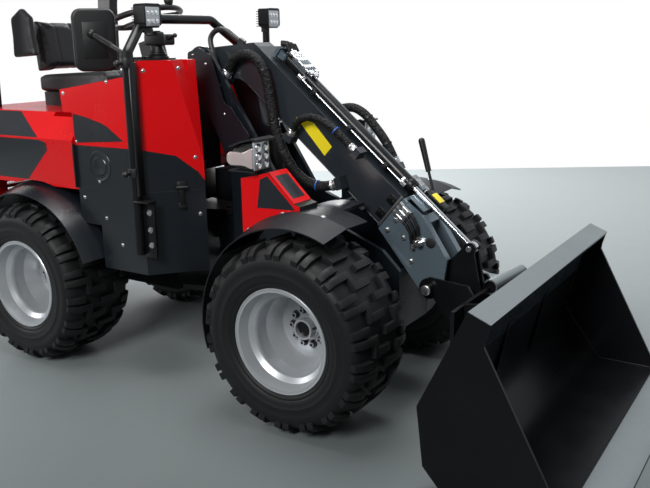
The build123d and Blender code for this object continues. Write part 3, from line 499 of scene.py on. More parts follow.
SIDE_LENS = Finish("side_lens", "lamp", (0.60, 0.50, 0.49), gloss=0.08, spread=0.03, metal=0.35, coat=0.8,
                   dusty=0.03, relief=0.02)
TAIL_LAMP_RED = Finish("tail_lens", "lamp", (0.42, 0.006, 0.006), gloss=0.12, spread=0.03, coat=0.8, dusty=0.04,
                       relief=0.1, ripple_scale=420.0)
MIRROR_CHROME = Finish("mirror_chrome", "lamp", (0.82, 0.84, 0.86), gloss=0.04, spread=0.02, metal=1.0,
                       dusty=0.02, relief=0.005)
LAMP_PANE = Finish("lamp_pane", "lamp", (0.42, 0.45, 0.47), gloss=0.12, spread=0.03, metal=0.35, coat=0.8,
                   dusty=0.02, relief=0.3, grain_scale=300.0, ripple_scale=260.0)
LENS = Finish("diode_lens", "lamp", (0.80, 0.82, 0.80), gloss=0.06, spread=0.02, coat=0.8, dusty=0.0, relief=0.01)
SLEEVE = Sleeve("hose_sleeve", "hose", (0.010, 0.010, 0.0115), gloss=0.6, dust=(0.06, 0.06, 0.06), specular=0.3)
CONDUIT = Finish("conduit_black", "hose", (0.012, 0.012, 0.013), gloss=0.42, relief=0.3, grain_scale=500.0)
VINYL = Leather("seat_vinyl", "vinyl", (0.014, 0.014, 0.016), gloss=0.42)
# Dark near colour as painted shade, paling towards the far colour as painted light along the floor.
FLOOR_PAINTED_LIGHT = PaintedLightFloor("studio_floor", "floor", (0.050, 0.062, 0.061), gloss=0.42, spread=0.02, dusty=0.08,
                        dust=(0.040, 0.049, 0.049), relief=0.02)

SLOT_FINISH = {finish.slot: finish for finish in (BLACK_PAINT, GREY_PAINT, RED_PAINT, RIM_SILVER, RUBBER, IRON,
                                                  VINYL, PLASTIC, CHROME, LAMP_SHELL, CONDUIT)}
NODE_FINISH = {
    "front_fender_right": FENDER_BLACK,
    "front_fender_left": FENDER_BLACK,
    "boom_inner": HEAD_GREY,
    "boom_outer": BOOM_GREY,
    "bucket": BUCKET_BLACK,
}


# Studio


@dataclass(frozen=True)
class Camera:
    """Camera at the photograph's viewing angle, fitted to the wheels and the bucket."""

    place: Point = (2.15517, -2.97455, 1.49444)
    turn_left: float = 0.573739
    look_down: float = 0.249211
    lean: float = -0.017093
    focal_pixels: float = 800.656
    picture_width: float = 650.0
    sensor: float = 36.0

    def build(self) -> None:
        """Create the camera and make it the scene's camera."""
        data = bpy.data.cameras.new("camera")
        data.sensor_width = self.sensor
        data.lens = self.sensor * self.focal_pixels / self.picture_width
        data.clip_start = 0.05
        data.clip_end = 80.0
        camera = bpy.data.objects.new("camera", data)
        bpy.context.scene.collection.objects.link(camera)
        level = Vector((cos(self.turn_left), sin(self.turn_left), 0.0))
        forward = UP.cross(level) * cos(self.look_down) - UP * sin(self.look_down)
        upright = level.cross(forward)
        right = level * cos(self.lean) + upright * sin(self.lean)
        up = upright * cos(self.lean) - level * sin(self.lean)
        matrix = Matrix((right, up, -forward)).transposed().to_4x4()
        matrix.translation = Vector(self.place)
        camera.matrix_world = matrix
        bpy.context.scene.camera = camera


@dataclass(frozen=True)
class Studio:
    """Floor with painted shade near and painted light far, in front of a white background, and soft light from large
    lamps.
    """

    floor_half: float = 5.7
    floor_turn: float = 0.56
    background: Point = (1.0, 1.0, 1.0)
    room_front: Point = (0.15, 0.16, 0.17)
    room_back: Point = (0.62, 0.65, 0.68)
    lamps: tuple[tuple[str, Point, Point, float, float], ...] = (
        ("key", (1.0, -5.6, 4.4), (0.0, 0.0, 0.6), 2.4, 330.0),
        ("top", (-0.4, 0.2, 5.6), (0.0, 0.0, 0.4), 3.4, 250.0),
        ("back", (-3.4, 5.0, 3.4), (0.0, 0.0, 0.8), 3.0, 150.0),
        ("side", (-5.6, -3.4, 2.4), (-0.6, -0.4, 0.7), 2.0, 90.0),
    )

    def build(self) -> None:
        """Lay the floor, light the room and hang the lamps."""
        self.floor()
        self.room()
        for name, place, target, size, power in self.lamps:
            data = bpy.data.lights.new(name, "AREA")
            data.shape = "SQUARE"
            data.size = size
            data.energy = power
            lamp = bpy.data.objects.new(name, data)
            lamp.location = place
            lamp.rotation_euler = (Vector(target) - Vector(place)).to_track_quat("-Z", "Y").to_euler()
            bpy.context.scene.collection.objects.link(lamp)
        bpy.context.scene.view_settings.view_transform = "Standard"

    def floor(self) -> None:
        """Lay the floor, turned so that its far edge is the photograph's horizon."""
        bm = bmesh.new()
        bmesh.ops.create_grid(bm, x_segments=1, y_segments=1, size=self.floor_half)
        bmesh.ops.rotate(bm, matrix=Matrix.Rotation(self.floor_turn, 3, "Z"), verts=bm.verts)
        mesh = bpy.data.meshes.new("studio_floor")
        bm.to_mesh(mesh)
        bm.free()
        mesh.materials.append(FLOOR_PAINTED_LIGHT.build())
        floor = bpy.data.objects.new("studio_floor", mesh)
        bpy.context.scene.collection.objects.link(floor)

    def room(self) -> None:
        """Show a white background, and reflect a room that is dark behind the camera and pale ahead of it."""
        world = bpy.data.worlds.new("studio")
        world.use_nodes = True
        graph = Graph(world.node_tree)
        seen = graph.add("ShaderNodeLightPath").outputs["Is Camera Ray"]
        heading = graph.add("ShaderNodeSeparateXYZ", {0: graph.add("ShaderNodeTexCoord").outputs["Generated"]})
        room = graph.mix(graph.remap(heading.outputs["Y"], -0.5, 0.6), rgba(self.room_front), rgba(self.room_back))
        shown = graph.mix(seen, room, rgba(self.background))
        graph.feed(world.node_tree.nodes["Background"].inputs["Color"], shown)
        bpy.context.scene.world = world


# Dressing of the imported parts


def dress_all() -> None:
    """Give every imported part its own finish, or the finish of its slot in the record."""
    for row in frame["record"]["subparts"]:
        material = NODE_FINISH.get(row["node"], SLOT_FINISH[row["material_slot"]]).build()
        thing = frame["nodes"][row["node"]]
        for material_slot in thing.material_slots:
            material_slot.material = material
        if not thing.material_slots:
            thing.data.materials.append(material)


# Shapes


class Shape:
    """Mesh under construction, kept in frame metres until it is placed."""

    def __init__(self) -> None:
        """Start empty."""
        self.bm = bmesh.new()

    def move(self, made: dict, matrix: Matrix) -> "Shape":
        """Put the vertices that an operator made in place, and give back the shape."""
        bmesh.ops.transform(self.bm, matrix=matrix, verts=made["verts"])
        return self

    def box(self, centre: Vector, size: Sequence[float], turn: Matrix | None = None) -> "Shape":
        """Block of a size round a centre.

        Args:
            centre: Middle of the block.
            size: Its three sides in metres.
            turn: Rotation of the block, if it isn't square to the frame.

        Returns:
            The shape itself.
        """
        made = bmesh.ops.create_cube(self.bm, size=1.0)
        return self.move(made, Matrix.Translation(centre) @ (turn or Matrix()).to_4x4() @ Matrix.Diagonal((*size, 1.0)))

    def rod(self, start: Vector, end: Vector, radius: float, end_radius: float | None = None,
            segments: int = 32) -> "Shape":
        """Round bar or cone between two points.

        Args:
            start: Middle of the first end.
            end: Middle of the second end.
            radius: Radius at the start.
            end_radius: Radius at the end, the same if left out.
            segments: Sides of the circle.

        Returns:
            The shape itself.
        """
        run = end - start
        made = bmesh.ops.create_cone(self.bm, cap_ends=True, segments=segments, radius1=radius,
                                     radius2=radius if end_radius is None else end_radius, depth=run.length)
        turn = run.to_track_quat("Z", "Y").to_matrix().to_4x4()
        return self.move(made, Matrix.Translation((start + end) / 2) @ turn)

    def ball(self, centre: Vector, radius: float, squash: Point = (1.0, 1.0, 1.0)) -> "Shape":
        """Sphere, squashed along the frame's axes.

        Args:
            centre: Middle of the sphere.
            radius: Its radius.
            squash: Scale along X, Y and Z.

        Returns:
            The shape itself.
        """
        made = bmesh.ops.create_uvsphere(self.bm, u_segments=32, v_segments=16, radius=radius)
        return self.move(made, Matrix.Translation(centre) @ Matrix.Diagonal((*squash, 1.0)))

    def prism(self, outline: Sequence[Vector], depth: Vector) -> "Shape":
        """Flat outline pushed out along a vector.

        Args:
            outline: Corners in order.
            depth: How far and which way it is pushed.

        Returns:
            The shape itself.
        """
        face = self.bm.faces.new([self.bm.verts.new(corner) for corner in outline])
        made = bmesh.ops.extrude_face_region(self.bm, geom=[face])
        moved = [item for item in made["geom"] if isinstance(item, bmesh.types.BMVert)]
        bmesh.ops.translate(self.bm, vec=depth, verts=moved)
        return self

    def plate(self, outline: Outline, y: float, thick: float) -> "Shape":
        """Upright plate along the machine.

        Args:
            outline: Corners as X and Z of the drawing.
            y: Side distance of its first face in the drawing.
            thick: Its thickness in metres, less than zero towards the right.

        Returns:
            The shape itself.
        """
        return self.prism([at(x, y, z) for x, z in outline], Vector((0.0, thick, 0.0)))

    def lathe(self, profile: Outline, origin: Vector, axis: Vector, segments: int = 96) -> "Shape":
        """Surface turned about an axis from pairs of radius and run along the axis.

        Args:
            profile: Radius and run of each point.
            origin: Where the run is zero.
            axis: Direction of the axis.
            segments: Steps of the full turn.

        Returns:
            The shape itself.
        """
        axis = axis.normalized()
        outward = axis.orthogonal().normalized()
        spin(self.bm, [origin + outward * radius + axis * run for radius, run in profile], origin, axis, segments)
        return self

    def blend_edges(self, width: float, segments: int = 2, sharper_than: float = 30.0) -> "Shape":
        """Round off the edges that turn more than an angle.

        Args:
            width: Width of the rounding.
            segments: Steps across it.
            sharper_than: Least angle between faces, in degrees.

        Returns:
            The shape itself.
        """
        bmesh.ops.recalc_face_normals(self.bm, faces=self.bm.faces)
        round_edges(self.bm, width, segments, sharper_than)
        return self

    def place(self, name: str, body: Body, finish: Finish, slot: str | None = None, smooth_below: float = 35.0,
              replaces: Sequence[str] = ()) -> bpy.types.Object:
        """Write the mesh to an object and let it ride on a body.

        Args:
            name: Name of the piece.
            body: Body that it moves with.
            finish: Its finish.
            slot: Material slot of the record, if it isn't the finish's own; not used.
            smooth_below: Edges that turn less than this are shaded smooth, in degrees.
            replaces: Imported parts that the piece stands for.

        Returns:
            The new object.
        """
        bmesh.ops.recalc_face_normals(self.bm, faces=self.bm.faces)
        mesh = bpy.data.meshes.new(name)
        self.bm.to_mesh(mesh)
        self.bm.free()
        mesh.shade_smooth()
        mesh.set_sharp_from_angle(angle=radians(smooth_below))
        return mount(name, mesh, body, finish, replaces)


def spin(bm: bmesh.types.BMesh, points: Sequence[Vector], origin: Vector, axis: Vector, segments: int) -> None:
    """Turn a row of points about an axis into a closed surface.

    Args:
        bm: Mesh that it is added to.
        points: The row of points.
        origin: A place on the axis.
        axis: Direction of the axis.
        segments: Steps of the full turn.
    """
    verts = [bm.verts.new(point) for point in points]
    edges = [bm.edges.new(pair) for pair in zip(verts, verts[1:])]
    bmesh.ops.spin(bm, geom=verts + edges, cent=origin, axis=axis, angle=2 * pi, steps=segments, use_merge=True)


def round_edges(bm: bmesh.types.BMesh, width: float, segments: int, sharper_than: float) -> None:
    """Bevel the edges that turn more than an angle.

    Args:
        bm: Mesh to change.
        width: Width of the rounding.
        segments: Steps across it.
        sharper_than: Least angle between faces, in degrees.
    """
    edges = [edge for edge in bm.edges
             if len(edge.link_faces) == 2 and edge.calc_face_angle(0.0) > radians(sharper_than)]
    bmesh.ops.bevel(bm, geom=edges, affect="EDGES", offset=width, offset_type="OFFSET", segments=segments,
                    profile=0.5, material=-1, clamp_overlap=True)


def mount(name: str, data: bpy.types.ID, body: Body, finish: Finish,
          replaces: Sequence[str] = ()) -> bpy.types.Object:
    """Put a mesh or curve in the scene and let it ride on a body.

    Args:
        name: Name of the piece.
        data: Its mesh or curve.
        body: Body that it moves with.
        finish: Its finish.
        replaces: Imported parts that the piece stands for.

    Returns:
        The new object.
    """
    piece = bpy.data.objects.new(name, data)
    bpy.context.scene.collection.objects.link(piece)
    data.materials.append(finish.build())
    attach(piece, body.value)
    if replaces:
        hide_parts(*replaces)
    return piece


# Hoses


@dataclass(frozen=True)
class Hose:
    """Free hose or conduit on the boom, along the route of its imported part."""

    name: str
    diameter: float
    length: float
    route: tuple[Point, ...]
    finish: Finish

    def build(self) -> None:
        """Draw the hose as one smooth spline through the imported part's place."""
        curve = bpy.data.curves.new(self.name, "CURVE")
        curve.dimensions = "3D"
        curve.bevel_depth = self.diameter / 2
        curve.bevel_resolution = 6
        curve.resolution_u = 10
        curve.use_fill_caps = True
        spline = curve.splines.new("NURBS")
        spline.points.add(len(self.route) - 1)
        for point, place in zip(spline.points, self.route):
            point.co = (*at(*place), 1.0)
        spline.order_u = 3
        spline.use_endpoint_u = True
        piece = mount(self.name + "_line", curve, Body.BOOM, self.finish, replaces=(self.name,))

    def ends(self) -> tuple[tuple[Point, Vector], ...]:
        """Both ends in the drawing, each with the direction from it into the hose."""
        pairs = ((self.route[0], self.route[1]), (self.route[-1], self.route[-2]))
        return tuple((end, (at(*after) - at(*end)).normalized()) for end, after in pairs)


HOSES = {hose.name: hose for hose in (
    Hose("hose_main", 0.044, 1.006, (
        (-684, -85, 1344), (-648, -85, 1407), (-588, -98, 1440), (-519, -110, 1441), (-463, -114, 1404),
        (-434, -114, 1337), (-419, -116, 1250), (-404, -118, 1162), (-378, -119, 1080), (-342, -119, 1002),
        (-290, -119, 932), (-216, -116, 890), (-142, -112, 880), (-78, -112, 900)), SLEEVE),
    Hose("hose_upper", 0.032, 0.406, (
        (-318, -112, 1096), (-290, -112, 1146), (-238, -118, 1178), (-170, -120, 1178), (-106, -118, 1146),
        (-48, -112, 1098), (8, -112, 1046)), SLEEVE),
    Hose("hose_left", 0.040, 0.418, (
        (-214, 108, 1190), (-148, 108, 1212), (-80, 114, 1186), (-28, 114, 1132), (22, 112, 1078),
        (60, 108, 1022), (88, 108, 966)), SLEEVE),
    Hose("conduit", 0.024, 0.344, (
        (-735, -85, 1358), (-741, -85, 1414), (-764, -82, 1466), (-778, -76, 1514), (-748, -68, 1548),
        (-700, -60, 1552), (-655, -50, 1515), (-625, -50, 1497)), CONDUIT),
)}
SLEEVED = [hose for hose in HOSES.values() if hose.finish is SLEEVE]


# Wheels


@dataclass(frozen=True)
class Tyre:
    """Block tread tyre: a turned carcass with stepped lugs over both shoulders."""

    pitches: int = 18
    steps: int = 108
    start_angle: float = radians(5.7)
    bar_share: float = 0.47
    wall_root: float = 0.15
    shoulder: float = 0.17
    lug_depth: float = 0.030
    shoulder_depth: float = 0.026
    flare: float = 1.06
    tuck: float = 0.006
    lug_edge: float = 0.0022
    carcass: Outline = (
        (0.194, 0.150), (0.196, 0.158), (0.208, 0.162), (0.214, 0.167), (0.222, 0.174), (0.228, 0.1765),
        (0.232, 0.1755), (0.237, 0.180), (0.250, 0.1828), (0.262, 0.1838), (0.265, 0.1858), (0.270, 0.1862),
        (0.274, 0.1846), (0.296, 0.1858), (0.300, 0.1868), (0.318, 0.1845), (0.332, 0.1790), (0.344, 0.169),
        (0.353, 0.154), (0.359, 0.125), (0.3635, 0.08), (0.364, 0.0),
    )
    crown: Outline = ((-0.02, 0.3835), (0.06, 0.3835), (0.12, 0.3815), (0.165, 0.3680), (0.187, 0.3480))
    across: tuple[float, ...] = (-0.010, 0.030, 0.070, 0.096, 0.130, 0.160, 0.187)
    along: tuple[float, ...] = (-0.042, -0.011, 0.011, 0.042)
    bar_across: tuple[float, ...] = (0.112, 0.135, 0.160, 0.187)
    bar_along: tuple[float, ...] = (-0.016, 0.016)

    def top(self, y: float) -> float:
        """Radius of the lugs' tops.

        Args:
            y: Distance from the tyre's middle plane.

        Returns:
            The radius there.
        """
        for (y0, r0), (y1, r1) in zip(self.crown, self.crown[1:]):
            if y <= y1:
                return r0 + (r1 - r0) * (y - y0) / (y1 - y0)
        return self.crown[-1][1]

    def lug(self, across: Sequence[float], along: Sequence[float],
            filled: Callable[[int, int], bool]) -> bmesh.types.BMesh:
        """One lug at the tyre's top: its cells, side walls and rounded edges.

        Args:
            across: Widths of the grid lines.
            along: Places of the grid lines round the tread.
            filled: Whether the cell at two indices belongs to the lug.

        Returns:
            The lug, on the outer half that points to +Y.
        """
        bm = bmesh.new()
        grid = {}
        for i in range(len(across) - 1):
            for j in range(len(along) - 1):
                if not filled(i, j):
                    continue
                corners = ((i, j), (i + 1, j), (i + 1, j + 1), (i, j + 1))
                for corner in corners:
                    if corner not in grid:
                        y, angle = across[corner[0]], along[corner[1]] / WHEEL_Z
                        grid[corner] = bm.verts.new((self.top(y) * sin(angle), y, self.top(y) * cos(angle)))
                bm.faces.new([grid[corner] for corner in corners])
        rim = [edge for edge in bm.edges if len(edge.link_faces) == 1]
        made = bmesh.ops.extrude_edge_only(bm, edges=rim)
        for vert in (item for item in made["geom"] if isinstance(item, bmesh.types.BMVert)):
            depth = self.lug_depth if vert.co.y < self.wall_root else self.shoulder_depth
            radius = hypot(vert.co.x, vert.co.z)
            vert.co.x *= (radius - depth) / radius * self.flare
            vert.co.z *= (radius - depth) / radius
            if vert.co.y > self.shoulder:
                vert.co.y -= self.tuck
        round_edges(bm, self.lug_edge, segments=2, sharper_than=40)
        return bm

    def build(self) -> bpy.types.Mesh:
        """Turn the carcass and set the lugs round it.

        Returns:
            Mesh of a whole tyre round the origin.
        """
        bm = bmesh.new()
        profile = self.carcass + tuple((radius, -y) for radius, y in reversed(self.carcass[:-1]))
        spin(bm, [Vector((0.0, y, radius)) for radius, y in profile], Vector(), sideways(1), self.steps)
        step = 2 * pi / self.pitches
        stepped = self.lug(self.across, self.along, self.in_step)
        bar = self.lug(self.bar_across, self.bar_along, lambda i, j: True)
        for source, offset in ((stepped, 0.0), (bar, self.bar_share * step)):
            mesh = bpy.data.meshes.new("lug")
            source.to_mesh(mesh)
            source.free()
            for turn in range(self.pitches):
                for half in (1, -1):
                    angle = turn * step + offset + (step / 2 if half > 0 else 0.0) + self.start_angle
                    start = len(bm.verts)
                    bm.from_mesh(mesh)
                    bm.verts.ensure_lookup_table()
                    matrix = Matrix.Rotation(angle, 4, "Y") @ Matrix.Diagonal((1.0, half, 1.0, 1.0))
                    bmesh.ops.transform(bm, matrix=matrix, verts=bm.verts[start:])
            bpy.data.meshes.remove(mesh)
        bmesh.ops.recalc_face_normals(bm, faces=bm.faces)
        mesh = bpy.data.meshes.new("tyre")
        bm.to_mesh(mesh)
        bm.free()
        mesh.shade_smooth()
        mesh.set_sharp_from_angle(angle=radians(42))
        return mesh

    @staticmethod
    def in_step(i: int, j: int) -> bool:
        """Whether a cell belongs to the stepped lug: inner bar, riser or shoulder bar."""
        return j == 2 if i < 2 else (i == 2 or j == 0)


@dataclass(frozen=True)
class Wheel:
    """Tread and fittings of one wheel: nuts and studs, hub ring, rim lip and valve."""

    end: str
    hand: str
    bolt_circle: float = 0.0725
    nut_count: int = 10
    rim_face: float = 0.169
    disc_run: float = -0.037
    valve_run: float = 0.111
    valve_radius: float = 0.1745
    nut: Outline = ((0.0, 0.023), (0.007, 0.0220), (0.0110, 0.018), (0.0140, 0.013), (0.0140, 0.005),
                    (0.0165, 0.0035), (0.0165, 0.0005))
    hub_ring: Outline = ((0.044, 0.0005), (0.049, 0.003), (0.049, 0.010), (0.0445, 0.0125), (0.0425, 0.012))
    hub_cap: Outline = ((0.0, 0.0065), (0.020, 0.0065), (0.034, 0.0050), (0.040, 0.0020), (0.0425, 0.0010))
    rim_lip: Outline = ((0.2103, -0.008), (0.2125, -0.004), (0.2125, 0.0), (0.2100, 0.0025), (0.2060, 0.001))
    rim_bead: Outline = ((0.1640, -0.0595), (0.1600, -0.066), (0.1585, -0.074), (0.1590, -0.084))

    def build(self, tyre: bpy.types.Mesh) -> None:
        """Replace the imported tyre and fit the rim.

        Args:
            tyre: The shared tyre mesh round the origin.
        """
        key = f"{self.end}_{self.hand}"
        body = Body(f"wheel_{key}")
        out = sideways(HANDS[self.hand])
        hub = Vector((FRONT_X + AXLES[self.end], 0.0, WHEEL_Z)) + out * WHEEL_Y
        mesh = tyre.copy()
        mesh.transform(Matrix.Translation(hub))
        mount(f"tyre_{key}_tread", mesh, body, RUBBER, replaces=(f"tyre_{key}",))
        disc = hub + out * self.disc_run
        nuts = Shape()
        for number in range(self.nut_count):
            angle = 2 * pi * number / self.nut_count
            nuts.lathe(self.nut, disc + Vector((cos(angle), 0.0, sin(angle))) * self.bolt_circle, out, 18)
        nuts.place(f"nuts_{key}", body, NUT_BLACK)
        face = hub + out * self.rim_face
        ring = Shape().lathe(self.hub_ring, disc, out, 64).lathe(self.hub_cap, disc, out, 48)
        ring.lathe(self.rim_lip, face, out, 128).lathe(self.rim_bead, face, out, 128)
        ring.place(f"rim_ring_{key}", body, RIM_SILVER)
        spoke = Vector((0.155, 0.0, 0.08)).normalized()
        foot = hub + spoke * self.valve_radius + out * self.valve_run
        valve = Shape().rod(foot, foot + out * 0.040 - spoke * 0.012, 0.0055, 0.0045, 16)
        valve.place(f"valve_{key}", body, RUBBER)


# Body shell


@dataclass(frozen=True)
class Bodywork:
    """Blank decals, screws, latches, lamps and seams of the rear body."""

    decal: float = 0.0008
    flank_decal: Outline = (
        (-1198, 1196), (-1120, 1184), (-1020, 1160), (-985, 1146), (-890, 1086), (-1198, 1066),
    )
    # Outline of each hood decal, then height and side distance of the hood under its lower and its upper end
    hood_decals: tuple[tuple[Outline, tuple[float, float, float, float]], ...] = (
        (((-2084, 1068), (-1432, 1068), (-1386, 1056), (-1384, 1022), (-1560, 872), (-2084, 872)),
         (850, 540, 1075, 560)),
        (((-2084, 1078), (-1440, 1078), (-1650, 1186), (-2084, 1186)), (1075, 560, 1190, 470)),
    )
    flank_screws: Outline = ((-1250, 1284), (-967, 1337), (-1190, 1072), (-840, 1400), (-1166, 819), (-1033, 735),
                             (-944, 621), (-1060, 900))
    facet_screws: Outline = ((-774, 1384), (-679, 1391), (-646, 1012), (-640, 760))
    screw: Outline = ((0.0, 0.0036), (0.0028, 0.0034), (0.0052, 0.0026), (0.0066, 0.0010), (0.0068, 0.0),
                      (0.0090, 0.0), (0.0090, -0.0008))
    filler_cap: Outline = ((0.0, 0.002), (0.026, 0.0025), (0.034, 0.004), (0.040, 0.004), (0.043, 0.0015),
                           (0.060, 0.001), (0.064, 0.0025), (0.068, 0.0020), (0.070, 0.0))
    facet_start: tuple[float, float] = (-800.0, 545.0)
    facet_slope: float = 207 / 178
    facet_out: tuple[float, float] = (0.758, 0.652)
    latch_x: float = -690.0
    seam_thick: float = 0.0012
    seam_wide: float = 0.004
    grille_x: float = -2132.0
    grille_wires: int = 37
    wire_gap: float = 15.5

    def build(self) -> None:
        """Add every piece of the body's trim on both sides."""
        for hand, s in HANDS.items():
            self.decals(hand, s)
            self.latch(hand, s)
            self.tank_lid(hand, s)
            lamp = Shape().box(at(-2093, s * 495, 930), (0.016, 0.060, 0.150)).blend_edges(0.005, 3)
            lamp.place(f"tail_lamp_{hand}", Body.CHASSIS, TAIL_LAMP_RED)
        self.screws()
        self.tail_door()

    def facet(self, s: int, x: float, z: float, proud: float = 0.0) -> Vector:
        """Place on the slanted facet between the flank and the nose.

        Args:
            s: Side of the machine.
            x: Distance ahead of the front axle in the drawing.
            z: Height in the drawing.
            proud: Distance out of the facet in millimetres.

        Returns:
            The place in metres.
        """
        y = self.facet_start[1] - (x - self.facet_start[0]) * self.facet_slope
        return at(x + proud * self.facet_out[0], s * (y + proud * self.facet_out[1]), z)

    def off_facet(self, s: int) -> Vector:
        """Direction out of the slanted facet of a side."""
        return Vector((self.facet_out[0], s * self.facet_out[1], 0.0))

    def decals(self, hand: str, s: int) -> None:
        """Plain dark stickers on the flank and the hood.

        Args:
            hand: Name of the side.
            s: Its sign.
        """
        dark = Shape().plate(self.flank_decal, s * 545.1, s * self.decal)
        for outline, (low_z, low_y, high_z, high_y) in self.hood_decals:
            lean = (high_y - low_y) / (high_z - low_z)
            corners = [at(x, s * (low_y + lean * (z - low_z) + 0.2), z) for x, z in outline]
            dark.prism(corners, Vector((0.0, s, -lean)).normalized() * self.decal)
        dark.place(f"decals_{hand}", Body.CHASSIS, DECAL)

    def screws(self) -> None:
        """Button head screws on the flanks, the tanks and the slanted facets."""
        screws = Shape()
        for s in HANDS.values():
            for x, z in self.flank_screws:
                screws.lathe(self.screw, at(x, s * 545.4, z), sideways(s), 20)
            for x, z in self.facet_screws:
                screws.lathe(self.screw, self.facet(s, x, z, 0.4), self.off_facet(s), 20)
        screws.place("panel_screws", Body.CHASSIS, ZINC)

    def latch(self, hand: str, s: int) -> None:
        """Rubber pull latch over the seam of a tank lid.

        Args:
            hand: Name of the side.
            s: Its sign.
        """
        across = Vector((-self.facet_out[1], s * self.facet_out[0], 0.0))
        turn = Matrix((across, self.off_facet(s), UP)).transposed()
        x = self.latch_x
        base = Shape().box(self.facet(s, x, 888, 5), (0.040, 0.010, 0.046), turn)
        base.box(self.facet(s, x, 800, 4), (0.034, 0.008, 0.030), turn).blend_edges(0.002)
        pivot = self.facet(s, x, 884, 14)
        base.rod(pivot - across * 0.024, pivot + across * 0.024, 0.007, segments=24)
        base.place(f"latch_base_{hand}", Body.CHASSIS, PLASTIC)
        strap = Shape().box(self.facet(s, x, 846, 10), (0.020, 0.006, 0.086), turn)
        strap.box(self.facet(s, x, 798, 11), (0.030, 0.008, 0.016), turn).blend_edges(0.0025)
        strap.place(f"latch_strap_{hand}", Body.CHASSIS, RUBBER, "plastic")

    def tank_lid(self, hand: str, s: int) -> None:
        """Round filler cap, and the seams round the lid.

        Args:
            hand: Name of the side.
            s: Its sign.
        """
        cap = Shape().lathe(self.filler_cap, at(-1050, s * 545.2, 968), sideways(s), 64)
        cap.place(f"round_panel_{hand}", Body.CHASSIS, GREY_PAINT)
        seam = Shape().box(at(-1000, s * 545.3, 868), (0.40, self.seam_thick, self.seam_wide))
        start, end = self.facet(s, -798, 868, 0.4), self.facet(s, -626, 868, 0.4)
        run = end - start
        turn = Matrix((run.normalized(), self.off_facet(s), UP)).transposed()
        seam.box((start + end) / 2, (run.length, self.seam_thick, self.seam_wide), turn)
        for x in (-1204, -1208):
            seam.box(at(x, s * 548, 962), (0.003, 0.020, 0.20))
        seam.place(f"seams_{hand}", Body.CHASSIS, SEAM_BLACK)

    def tail_door(self) -> None:
        """Handle, grille frame and wires of the engine door."""
        handle = Shape().box(at(-2136, -350, 1020), (0.012, 0.090, 0.036)).blend_edges(0.004, 3)
        handle.rod(at(-2142, -352, 1020), at(-2134, -352, 1020), 0.011)
        handle.place("door_handle", Body.TAIL, PLASTIC)
        border = Shape()
        for z in (712, 1048):
            border.box(at(self.grille_x, 0, z), (0.006, 0.60, 0.016))
        for y in (-292, 292):
            border.box(at(self.grille_x, y, 880), (0.006, 0.016, 0.352))
        border.blend_edges(0.002).place("grille_frame", Body.TAIL, BLACK_PAINT)
        wires = Shape()
        for number in range(self.grille_wires):
            y = (number - (self.grille_wires - 1) / 2) * self.wire_gap
            wires.rod(at(-2100, y, 718), at(-2100, y, 1042), 0.0012, segments=6)
        wires.place("grille_wires", Body.TAIL, BLACK_PAINT)


